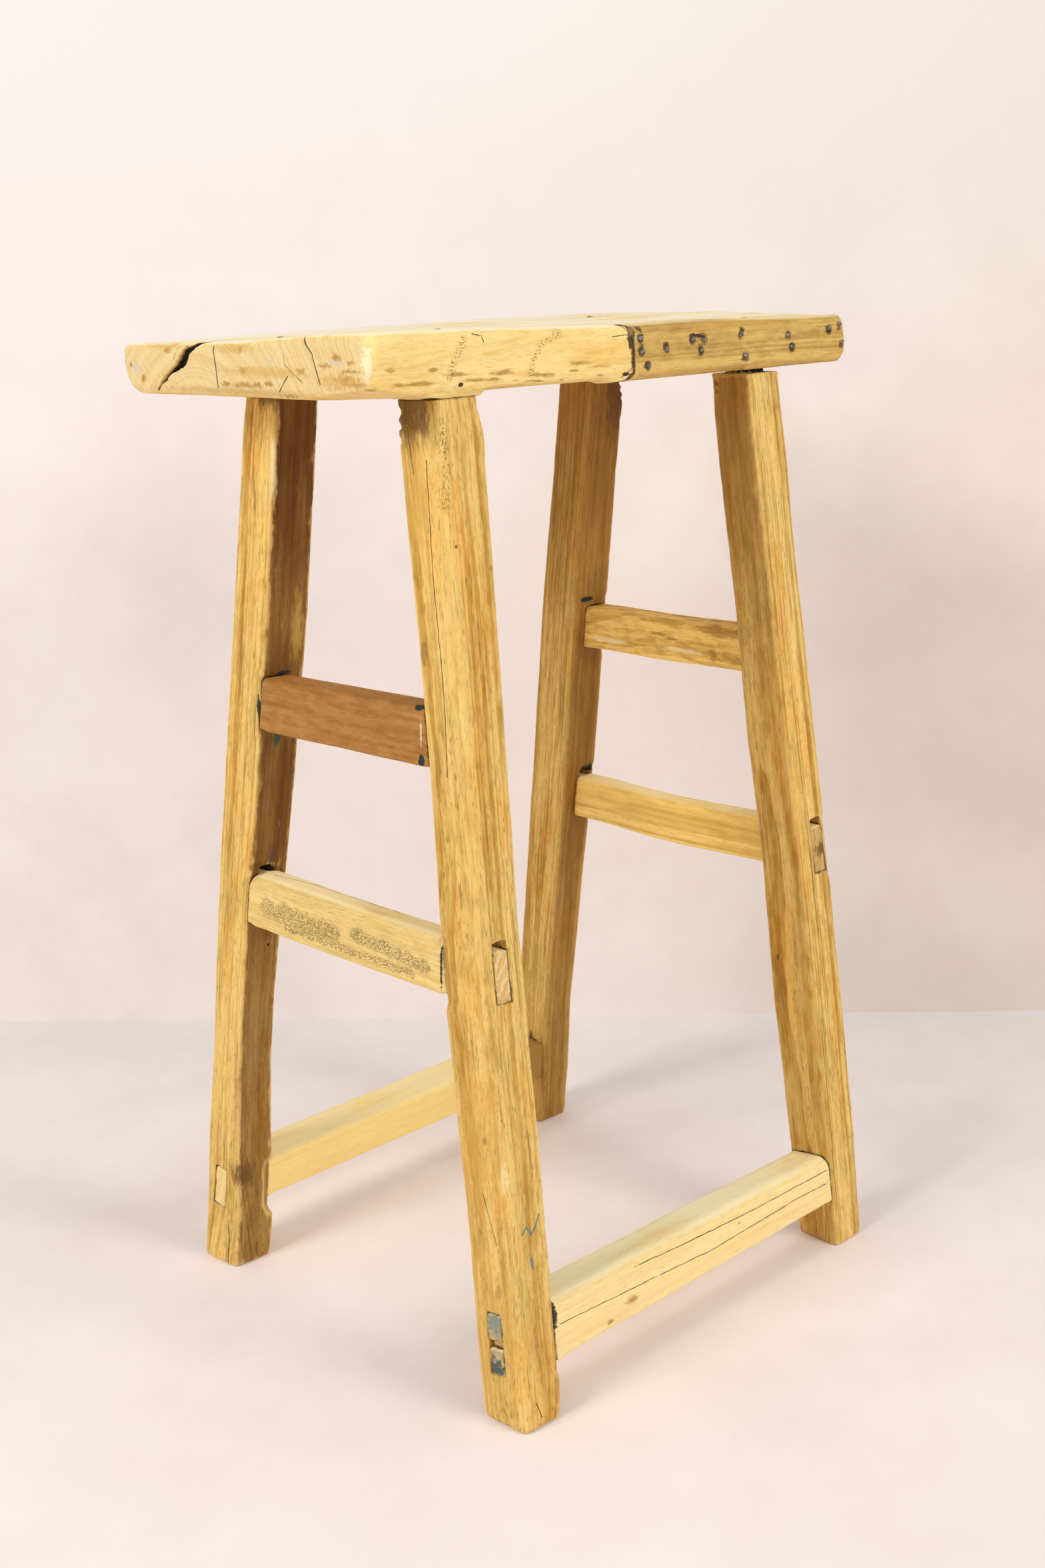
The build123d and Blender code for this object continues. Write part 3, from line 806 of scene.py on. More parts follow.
# Millimetres that the open part of a stretcher stands above and below its solid.
STOUTER = {"left_lower_stretcher": (2.2, 1.6), "left_upper_stretcher": (0.2, 0.9),
           "rear_stretcher": (1.6, -0.5)}
END_FADE = 40 * MM


def follow_legs(piece, node):
    """Moves a stretcher's ends with its legs, along its length, and lets its middle sag."""
    axis, (first, second) = STRETCHERS[node][:2]
    points = read_points(piece.data)
    low, high = points[:, axis].min(), points[:, axis].max()
    share = soft_step(points[:, axis], low + END_FADE, high - END_FADE)
    shift = (1 - share) * leg_shift(first, points)[:, axis] + share * leg_shift(second, points)[:, axis]
    above, below = STOUTER.get(node, (0, 0))
    level = (points[:, 2] - points[:, 2].min()) / np.ptp(points[:, 2])
    points[:, 2] += np.interp(level, (0, 1), (-below, above)) * MM * away_from_joints(piece)
    points[:, axis] += shift
    points[:, 2] -= SAG.get(node, 0) * MM * 4 * share * (1 - share)
    write_points(piece.data, points)


def carve_stretcher(node, seed):
    axis, _, square, passes, height, slot = STRETCHERS[node]
    piece = fine_skin("worn_" + node, node, square)
    axes = timber_axes(read_points(piece.data), np.eye(3)[axis])
    rub_arrises(piece, axes, passes, 0.1, 0.9, seed)
    follow_legs(piece, node)
    swell(piece, axes, height * MM, (20 * MM, 20 * MM, 60 * MM), seed + 2)
    swell(piece, axes, 0.16 * MM, (6 * MM, 6 * MM, 24 * MM), seed + 3)
    finish_timber(piece, node, axes, CROOKED)


for seed, node in enumerate(STRETCHERS):
    carve_stretcher(node, 200 + 10 * seed)

# %% [markdown]
# The seat is one thick plank. Its ends show end grain with saw marks, its near corner was dressed off
# with a chisel, and its rear left corner has worn right down. The end face gets smaller squares than
# the rest, because the deep crack there is really cut in.

# %% The crack in the seat's end
END_FACE, FRONT_FACE = -236.6, -96.0
# Each knot of the crack is (y, z, half width), in millimetres.
BIG_CRACK = ((66.1, 693.0, 0.5), (72.9, 690.9, 2.0), (79.1, 688.0, 4.2), (84.6, 683.7, 5.4),
             (88.0, 680.0, 5.2), (95.0, 676.4, 2.8), (101.4, 672.8, 1.6), (106.2, 669.7, 2.4),
             (111.2, 666.2, 0.9), (115.6, 661.8, 0.5))


def cut_crack(piece, knots, depth):
    """Cuts a run of (y, z, half width) into the end face, deepest along its middle."""
    points = read_points(piece.data)
    flat, deepest = points[:, 1:] / MM, np.zeros(len(points))
    for (y0, z0, w0), (y1, z1, w1) in zip(knots, knots[1:]):
        start, run = np.array((y0, z0)), np.array((y1 - y0, z1 - z0))
        share = np.clip((flat - start) @ run / (run @ run), 0, 1)
        distance = np.linalg.norm(flat - start - share[:, None] * run, axis=1)
        half = np.maximum(w0 + (w1 - w0) * share, 0.3) * (0.8 + 0.35 * cloud(points, 2.5 * MM, 31))
        deepest = np.maximum(deepest, 1 - soft_step(distance, half * 0.55, half + 0.15))
    at_end = 1 - soft_step(points[:, 0] / MM, END_FACE + 8, END_FACE + 16)
    points[:, 0] += deepest * at_end * depth * MM
    write_points(piece.data, points)
    add_attribute(piece.data, "cut", "FLOAT", deepest * at_end)


# %% Squares of the seat
seat = fine_skin("worn_seat_plank", "seat_plank", 2.4, 0.9)
END_ZONE, CRACK_ZONE, FRONT_ZONE = (END_FACE + 5) * MM, (END_FACE + 3) * MM, (FRONT_FACE + 4) * MM
CRACK_FROM, CRACK_TO = 58 * MM, 122 * MM
x, y = read_points(seat.data)[:, :2].T
split_squares(seat, (x < END_ZONE) | ((y < FRONT_ZONE) & (x < 0)))
x, y = read_points(seat.data)[:, :2].T
split_squares(seat, (x < CRACK_ZONE) & (y > CRACK_FROM) & (y < CRACK_TO))
lay_on_solid(seat, "seat_plank")
add_attribute(seat.data, "nook", "FLOAT", nearness(read_points(seat.data), ["seat_plank"]))
seat_axes = timber_axes(read_points(seat.data), (1, 0, 0))
print("seat", len(seat.data.polygons), "faces before carving")

# %% [markdown]
# The plank is worked over as a joiner and then fifty years of use would: arrises rubbed, faces let
# swell and hollow along the grain, and the low edge rolled. Three plane strokes take off the rear
# corner's underside, the facet at the near corner and a thin slip under the end, and only then is
# the crack cut, so that nothing smooths it over.

# %% Working over the seat
rub_arrises(seat, seat_axes, 9, 0.15, 1.0, 301)
swell(seat, seat_axes, 0.7 * MM, (45 * MM, 45 * MM, 120 * MM), 302)
swell(seat, seat_axes, 0.3 * MM, (14 * MM, 14 * MM, 40 * MM), 303)
settle_top(seat)
shave(seat, (-236, 152.5, 666.5), (-0.15, 0.75, -0.64))
round_low_edge(seat, 45, 1.6, 400)
soften(seat, (-234, 156, 672), (22, 22, 26), 40)
soften(seat, (*REAR_LEFT_CORNER, 700), (14, 14, 10), 20)
shave(seat, (-234.4, -92.6, 680), (-0.70, -0.71, 0.03))
shave(seat, (-236, -45, 662.6), (-0.127, -0.115, -0.985))
cut_crack(seat, BIG_CRACK, 6.5)
finish_timber(seat, "seat_plank", seat_axes)

# %% [markdown]
# Half of the seat's front edge is a strip let into the plank and nailed on. Its outer end is worn
# round at the corner that legs and hands brush past. It is carved as the plank is, with the same
# settling of the top, so that the two stay level where they meet.

# %% Repair strip
strip = fine_skin("worn_repair_strip", "seat_repair_strip", 1.2)
strip_axes = timber_axes(read_points(strip.data), (1, 0, 0))
rub_arrises(strip, strip_axes, 10, 0.1, 0.8, 311)
settle_top(strip)
round_low_edge(strip, 20, 1.4, 210)
soften(strip, (*FRONT_RIGHT_CORNER, 697), (18, 16, 15), 70)
soften(strip, (*FRONT_RIGHT_CORNER, 668), (12, 12, 12), 40)
swell(strip, strip_axes, 0.25 * MM, (14 * MM, 14 * MM, 45 * MM), 312)
finish_timber(strip, "seat_repair_strip", strip_axes)

# %% [markdown]
# The wedges that spread the tenons are slips of harder wood, sawn off flush, and the one in the low
# tenon of the front left leg has snapped off inside its slot. They are small, so a fine skin and the
# settling of the seat's top is all they get.

# %% Wedges
WEDGES = {"leg_tenon_wedges": UP, "broken_tenon_wedge": (0, 1, 0)}
for node, along in WEDGES.items():
    piece = fine_skin("worn_" + node, node, 0.7, 1.0)
    axes = timber_axes(read_points(piece.data), along)
    settle_top(piece)
    finish_timber(piece, node, axes, CROOKED)

# %% [markdown]
# The strip is held by small hand-forged nails. Their solids have plain eight-sided heads. Subdivision
# rounds those, and a few seeded knocks make each one different. Two more nails sit at the strip's far
# corner, so two of the nails are copied there, before the knocks, so that the copies differ too.

# %% Nails
CORNER_NAILS = ((223.5, 693.5), (227.6, 680.8))
HEAD_DEPTH = 2.2 * MM
KNOCK = 0.22 * MM


def nail_islands(body):
    """Each nail of the merged mesh, as a list of its vertices."""
    left, islands = set(body.verts), []
    while left:
        island, edge_of = set(), [left.pop()]
        while edge_of:
            vertex = edge_of.pop()
            island.add(vertex)
            for e in vertex.link_edges:
                other = e.other_vert(vertex)
                if other in left:
                    left.discard(other)
                    edge_of.append(other)
        islands.append(sorted(island, key=lambda v: v.index))
    return sorted(islands, key=lambda i: i[0].index)


def hammered_nails():
    piece = object_from("hammered_nails", merged_body(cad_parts["repair_nails"]))
    body = bmesh.new()
    body.from_mesh(piece.data)
    body.verts.ensure_lookup_table()
    for (x, z), island in zip(CORNER_NAILS, nail_islands(body)[-2:]):
        faces = list({f for v in island for f in v.link_faces})
        made = bmesh.ops.duplicate(body, geom=faces)["geom"]
        verts = [g for g in made if isinstance(g, bmesh.types.BMVert)]
        head = min(verts, key=lambda v: v.co.y).co.copy()
        bmesh.ops.translate(body, verts=verts, vec=(x * MM - head.x, 0, z * MM - head.z))
    knocks = np.random.default_rng(41)
    body.verts.index_update()
    for island in nail_islands(body):
        front = min(v.co.y for v in island)
        head = [v for v in island if v.co.y < front + HEAD_DEPTH]
        middle = sum((v.co for v in head), Vector()) / len(head)
        wide, tall = knocks.uniform(0.85, 1.15), knocks.uniform(0.5, 0.75)
        for v in head:
            v.co.x = middle.x + (v.co.x - middle.x) * wide + knocks.uniform(-KNOCK, KNOCK)
            v.co.z = middle.z + (v.co.z - middle.z) * tall + knocks.uniform(-KNOCK, KNOCK)
            v.co.y = max(v.co.y + knocks.uniform(-0.2, 0.2) * MM, front)
    body.to_mesh(piece.data)
    body.free()
    rounded = piece.modifiers.new("rounded", "SUBSURF")
    rounded.levels = rounded.render_levels = 2
    apply_modifiers(piece)
    shade_smooth(piece)
    return piece


nails = hammered_nails()
keep_in_box(nails, ["repair_nails", "seat_repair_strip"])
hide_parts("repair_nails")
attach(nails, "root")
print("nails", len(nails.data.polygons), "faces")

# %% [markdown]
# Each wood gets its own colours, ring gap, age and painted light from one short table of plain
# values, and its own marks from a list beside it. The recipe is the same for all: grain first, then
# slow patches of colour, then the dark inner faces with painted shade of the seat, tops painted
# paler as light from above, rubbed arrises with a painted highlight, dirt and painted shade by the
# joints, and the marks on top.

# %% Bare grain
PLAIN_GRAIN = {"Rings": 0.22, "Bands": 0.26, "Fibres": 0.2, "Mottle": 0.16}
PALE_GRAIN = {"Rings": 0.14, "Bands": 0.14, "Fibres": 0.14, "Mottle": 0.1}


def grain_tone(tree, parts, shares, level):
    """One value from 0, pale, to 1, dark, out of the grain group's parts."""
    tone = level
    for part, share in shares.items():
        # Rings are dark for less than half of their turn, so their middle lies below a half.
        centred = maths(tree, "SUBTRACT", parts[part], 0.4 if part == "Rings" else 0.5)
        tone = maths(tree, "MULTIPLY_ADD", centred, share, tone)
    return maths(tree, "MAXIMUM", tone, 0.0)


def grain_colours(tree, tone, pale, deep):
    """The tone as a colour: a glint of raised fibre, pale wood, deep wood, the darkest lines."""
    node = put(tree, "ValToRGB", {"Fac": tone})
    stops = node.color_ramp.elements
    stops[0].color = (*(min(1.0, c * 1.06 + 0.03) for c in pale), 1)
    stops[1].color = (deep[0] * 0.52, deep[1] * 0.44, deep[2] * 0.5, 1)
    for position, colour in ((0.3, pale), (0.68, deep)):
        stops.new(position).color = (*colour, 1)
    return node.outputs["Color"]


def dark_lines(tree, colour, parts, deep, share):
    line = tuple(c * 0.38 for c in deep)
    colour = mix(tree, maths(tree, "MULTIPLY", parts["Lines"], share), colour, line)
    return mix(tree, maths(tree, "MULTIPLY", parts["Pores"], 0.1 + share), colour, line)


def tinted(tree, colour, grain, tints, seed):
    """Slow patches that darken the colour by a tint: (tint, share, level) for each."""
    for step, (tint, share, level) in enumerate(tints):
        spread = use_group(tree, BLOTCH, {"Vector": grain, "Scale": (42, 42, 10), "Level": level,
                                          "Softness": 0.14, "Seed": seed + 3 + 5 * step})["Mask"]
        colour = mix(tree, maths(tree, "MULTIPLY", spread, share), colour, tint, "MULTIPLY")
    return colour


# %% [markdown]
# Age and painted light come over the grain in three layers. Faces that look inwards stay dark with
# old polish, and near the seat with painted shade of the seat; faces that look up are painted paler,
# as light falling from above on partly scoured wood; and arrises are scraped pale under a painted
# highlight, while the seams of the joints are painted dark, as dirt and shade. Each layer is a mix
# whose share comes from an attribute of the skin, frayed by noise so that no layer ends in a clean
# line.

# %% Age, wear and painted light
NEARLY_BLACK = (0.045, 0.026, 0.014)


def aged_and_shaded(tree, colour, tone, grain, facts, inner):
    """Turns the faces that look inwards to their old dark colour, unevenly; near the seat that colour also
    holds painted shade of the seat.
    """
    dark = grain_colours(tree, tone, inner, tuple(c * 0.72 for c in inner))
    patchy = maths(tree, "SUBTRACT", noise(tree, grain, 1.0, 4.0, 0.6, (30, 30, 8)), 0.5)
    uneven = maths(tree, "MULTIPLY_ADD", patchy, 0.9, 1.0)
    return mix(tree, maths(tree, "MULTIPLY", facts["inner"], uneven, clamp=True), colour, dark)


def worn(tree, colour, grain, facts, pale, scrape_and_highlight, seam_dirt_and_shade):
    """Arrises paled by scraping, with a painted highlight along them, and a thin broken dark line where two
    timbers meet: grime with painted shade in the joint.
    """
    fine = maths(tree, "SUBTRACT", noise(tree, grain, 1.0, 4.0, 0.7, (260, 260, 60)), 0.5)
    # Scraped arrises, with a painted highlight where they stand proud.
    scraped_and_highlit = ramp(tree, maths(tree, "MULTIPLY_ADD", fine, 2.2, facts["proud"]), 0.3, 0.8)
    glint = tuple(min(1.0, c * 1.08 + 0.05) for c in pale)
    colour = mix(tree, maths(tree, "MULTIPLY", scraped_and_highlit, scrape_and_highlight), colour, glint)
    # Painted shade with dirt: a near-black seam close against a neighbouring timber.
    seam = ramp(tree, maths(tree, "MULTIPLY_ADD", fine, 0.3, facts["nook"]), 0.89, 0.98)
    broken = ramp(tree, noise(tree, grain, 75.0, 2.0), 0.38, 0.56)
    seam = maths(tree, "MULTIPLY", seam, maths(tree, "MULTIPLY_ADD", broken, 0.75, 0.25))
    return mix(tree, maths(tree, "MULTIPLY", seam, seam_dirt_and_shade), colour, NEARLY_BLACK)


def bleached(tree, colour, tone, grain, facts, bleach, pale):
    """Pales the faces that look up: painted light falling from above, over wood that hands and weather have
    partly worn pale.
    """
    patchy = ramp(tree, noise(tree, grain, 1.0, 4.0, 0.6, (34, 34, 10)), 0.25, 0.55)
    share = maths(tree, "MULTIPLY", ramp(tree, facts["sky"], 0.72, 0.95), patchy)
    top_lit_and_scoured = mix(tree, maths(tree, "MULTIPLY", tone, 0.7), bleach, pale)
    return mix(tree, maths(tree, "MULTIPLY", share, 0.88), colour, top_lit_and_scoured)


# %% [markdown]
# Paint flecks, soot, rust, knots and rubbed patches each have their own place on the real stool.
# Some kinds are painted shade: gaps, holes and shadows, and the soot at the legs' tops holds painted
# shade of the seat.
# Painting them on a picture would tie them to that picture, so each is an egg-shaped spot kept on the
# mesh instead. A kind of mark has one tint, and then says how strong, how ragged and how soft it is.

# %% Kinds of mark
MARK_KINDS = {
    "teal": ((0.12, 0.22, 0.19), 0.85, 0.55, 0.25),
    "slate": ((0.22, 0.27, 0.22), 0.85, 0.9, 0.5),
    "smear": ((0.24, 0.11, 0.03), 0.6, 0.7, 0.5),
    "stain": ((0.40, 0.19, 0.035), 0.7, 0.6, 0.6),
    # Painted shade: near black where a gap between two timbers lies in shadow.
    "gap": ((0.015, 0.028, 0.024), 0.97, 0.45, 0.25),
    "cream": ((0.95, 0.80, 0.46), 0.7, 0.4, 0.6),
    "burnish": ((0.43, 0.215, 0.035), 0.82, 0.6, 0.75),
    "browned": ((0.40, 0.205, 0.04), 0.97, 0.3, 0.2),
    # Soot, and at the tops of the legs painted shade of the seat.
    "soot_and_shade": ((0.15, 0.068, 0.012), 0.85, 0.4, 0.6),
    "deep_teal": ((0.045, 0.085, 0.08), 0.9, 0.7, 0.6),
    "lilac": ((0.58, 0.53, 0.50), 0.6, 0.6, 0.6),
    "golden": ((0.64, 0.37, 0.08), 0.6, 0.5, 0.7),
    "shadow": ((0.50, 0.28, 0.07), 0.5, 0.4, 0.8),
    "rust": ((0.085, 0.045, 0.02), 0.85, 0.7, 0.6),
    "chalky": ((1.0, 0.87, 0.58), 0.75, 0.9, 0.6),
    "knot": ((0.14, 0.06, 0.02), 0.85, 0.3, 0.4),
    # Painted shade: near black inside small holes.
    "hole": ((0.03, 0.02, 0.015), 0.97, 0.25, 0.25),
    "scrape": ((0.95, 0.74, 0.36), 0.55, 0.8, 0.6),
}


# %% Marks and runs laid over the grain
def kinds_of(marks):
    return list(dict.fromkeys(mark[0] for mark in marks))


def place_marks(piece, marks):
    """Keeps, for each kind of mark, how near the nearest one is, counted down from MARK_REACH."""
    points = read_points(piece.data)
    for kind in kinds_of(marks):
        nearest = np.full(len(points), MARK_REACH)
        for centre, reach in (mark[1:] for mark in marks if mark[0] == kind):
            nearest = np.minimum(nearest, reaches_from(points, centre, reach))
        add_attribute(piece.data, "mark_" + kind, "FLOAT", MARK_REACH - nearest)


def lay_marks(tree, colour, grain, marks):
    """Mixes in each kind of mark; a kind is its tint, strength, raggedness and softness."""
    rough = noise(tree, grain, 1.0, 4.0, 0.65, (330, 330, 90))
    for kind in kinds_of(marks):
        tint, strength, ragged, softness = MARK_KINDS[kind]
        near = put(tree, "Attribute", attribute_name="mark_" + kind).outputs["Fac"]
        mask = use_group(tree, MARK, {"Nearness": near, "Rough": rough, "Ragged": ragged,
                                      "Softness": softness})["Mask"]
        colour = mix(tree, maths(tree, "MULTIPLY", mask, strength), colour, tint)
    return colour


def run_mask(tree, place, runs):
    """Where any of the (half width, sway, flatten, knots) runs goes."""
    clouds = put(tree, "TexNoise", {"Vector": place, "Scale": 90.0, "Detail": 3.0}).outputs["Color"]
    sway = vectors(tree, "SUBTRACT", clouds, (0.5, 0.5, 0.5))
    thick, total = noise(tree, place, 160.0, 1.0), 0.0
    for width, swing, flatten, knots in runs:
        for start, end in itertools.pairwise(tuple(c * MM for c in knot) for knot in knots):
            mask = use_group(tree, CRACK, {
                "Vector": place, "Sway": sway, "Thick": thick, "From": start, "To": end,
                "Flatten": flatten, "Width": width * MM, "Wander": swing * MM})["Mask"]
            total = maths(tree, "MAXIMUM", mask, total)
    return total


def saw_marks(tree, place):
    """Stripes left by a saw across end grain, leaning as the saw was held."""
    leaning = vectors(tree, "MULTIPLY", place, (1, 1, -1))
    wave = put(tree, "TexWave", {"Vector": leaning, "Scale": 80.0, "Distortion": 4.0, "Detail": 3.0,
                                 "Detail Scale": 3.0}, bands_direction="DIAGONAL").outputs["Fac"]
    return ramp(tree, wave, 0.45, 0.9)


# %% [markdown]
# One function builds the material of every timber, in the order in which the real surface came
# about: wood; age, with painted seat shade, painted top light and painted highlights; sawn end;
# marks, some of them painted shade; pores; cracks, painted dark as the shade inside them. What a
# timber doesn't have is left out of its tree, because each crack run costs the renderer room. Only
# Base Color, Roughness and Normal change over the surface.

# %% Wood finish
STIPPLE_SCALE = (1300, 1300, 600)
# Painted shade: the near black inside a thin crack, and inside the cut of the big crack.
SHADE_IN_A_CRACK, SHADE_IN_THE_CUT = (0.03, 0.024, 0.018), (0.035, 0.026, 0.016)


def wood_finish(name, pale, deep, inner, gap=4.2, pith=(60, 25), waver=6.0, shares=PLAIN_GRAIN,
                level=0.42, lines=0.45, tints=(), bleach=None, end_tint=None, saw=0.35, scrape_and_highlight=0.5,
                seam_dirt_and_shade=0.9, seed=0.0, roughness=0.6, marks=(), cracks=(), teal_runs=(), pore_runs=(),
                pore_colour=(0.25, 0.12, 0.03), pore_level=0.53, cut=False):
    """A material for one timber; colours are linear, lengths in millimetres."""
    material, tree, shader = new_material(name)
    grain = put(tree, "Attribute", attribute_name="grain").outputs["Vector"]
    place = put(tree, "TexCoord").outputs["Object"]
    facts = {fact: put(tree, "Attribute", attribute_name=fact).outputs["Fac"]
             for fact in ("proud", "nook", "inner", "sky", "end")}
    parts = use_group(tree, GRAIN, {"Grain": grain, "Pith": (pith[0] * MM, pith[1] * MM, 0),
                                    "Ring gap": gap * MM, "Waver": waver * MM, "Seed": seed})
    tone = grain_tone(tree, parts, shares, level)
    colour = dark_lines(tree, grain_colours(tree, tone, pale, deep), parts, deep, lines)
    colour = tinted(tree, colour, grain, tints, seed)
    colour = aged_and_shaded(tree, colour, tone, grain, facts, inner)
    # Paler tops: painted light from above, over partly scoured wood.
    if bleach:
        colour = bleached(tree, colour, tone, grain, facts, bleach, pale)
    colour = worn(tree, colour, grain, facts, pale, scrape_and_highlight, seam_dirt_and_shade)
    height = maths(tree, "MULTIPLY_ADD", parts["Rings"], 0.3, maths(tree, "MULTIPLY", parts["Fibres"], 0.5))
    for part in ("Pores", "Lines"):
        height = maths(tree, "SUBTRACT", height, maths(tree, "MULTIPLY", parts[part], 0.55))
    if end_tint:
        across = ramp(tree, facts["end"], 0.6, 0.95)
        kerfs = maths(tree, "MULTIPLY", saw_marks(tree, place), across)
        arcs = maths(tree, "MULTIPLY", maths(tree, "MULTIPLY", parts["Rings"], across), 0.3)
        colour = mix(tree, maths(tree, "MULTIPLY", across, 0.8), colour, end_tint)
        colour = mix(tree, arcs, colour, tuple(c * c for c in end_tint))
        colour = mix(tree, maths(tree, "MULTIPLY", kerfs, saw), colour, tuple(c ** 0.6 for c in end_tint))
        height = maths(tree, "MULTIPLY_ADD", kerfs, saw, height)
    colour = lay_marks(tree, colour, grain, marks)
    if pore_runs:
        stipple = noise(tree, grain, 1.0, 2.0, 0.5, STIPPLE_SCALE)
        pocked = maths(tree, "MULTIPLY", run_mask(tree, place, pore_runs),
                       ramp(tree, stipple, pore_level, pore_level + 0.07))
        colour = mix(tree, maths(tree, "MULTIPLY", pocked, 0.75), colour, pore_colour)
        height = maths(tree, "SUBTRACT", height, pocked)
    if cut:
        deep_in = ramp(tree, put(tree, "Attribute", attribute_name="cut").outputs["Fac"], 0.15, 0.6)
        colour = mix(tree, deep_in, colour, SHADE_IN_THE_CUT)
    if teal_runs:
        colour = mix(tree, run_mask(tree, place, teal_runs), colour, MARK_KINDS["teal"][0])
    if cracks:
        split = run_mask(tree, place, cracks)
        colour = mix(tree, maths(tree, "MULTIPLY", split, 0.95), colour, SHADE_IN_A_CRACK)
        height = maths(tree, "SUBTRACT", height, maths(tree, "MULTIPLY", split, 2.5))
    fill(tree, shader.inputs["Base Color"], colour)
    dull = maths(tree, "MULTIPLY_ADD", parts["Fibres"], 0.16, roughness - 0.08)
    fill(tree, shader.inputs["Roughness"], dull)
    shader.inputs["Specular IOR Level"].default_value = 0.18
    bump = put(tree, "Bump", {"Strength": 0.55, "Distance": 0.4 * MM, "Height": height})
    fill(tree, shader.inputs["Normal"], bump.outputs["Normal"])
    print(name, len(tree.nodes), "shader nodes")
    return material


def wear(piece, *materials):
    piece.data.materials.clear()
    for material in materials:
        piece.data.materials.append(material)


def dress(piece, name, **facts):
    """Puts one timber's marks on its skin, and its finish over them."""
    place_marks(piece, facts.get("marks", ()))
    wear(piece, wood_finish(name, **facts))


# %% [markdown]
# The legs are elm gone honey brown: broad straight lines, a little pore, greener where it was splashed
# and more orange where it was oiled. Flecks of an older teal paint survive in the hollows. Each list
# below names a kind of mark, its place and its reach, or the knots of a crack, all in millimetres.

# %% Leg finishes
LEG_COLOURS = {"pale": (0.81, 0.54, 0.16), "deep": (0.52, 0.275, 0.042), "end_tint": (0.80, 0.60, 0.32)}
# Inner-face colours: old polish, darkened further by painted shade of the seat.
INNER_DARK_AND_SHADE, INNER_BROWN_AND_SHADE = (0.17, 0.058, 0.006), (0.33, 0.14, 0.018)
OILED, SPLASHED = ((1.0, 0.80, 0.50), 0.6, 0.5), ((0.74, 0.76, 0.62), 0.5, 0.55)
ON_LEFT, ON_FRONT = (0.07, 1, 1), (1, 0.07, 1)
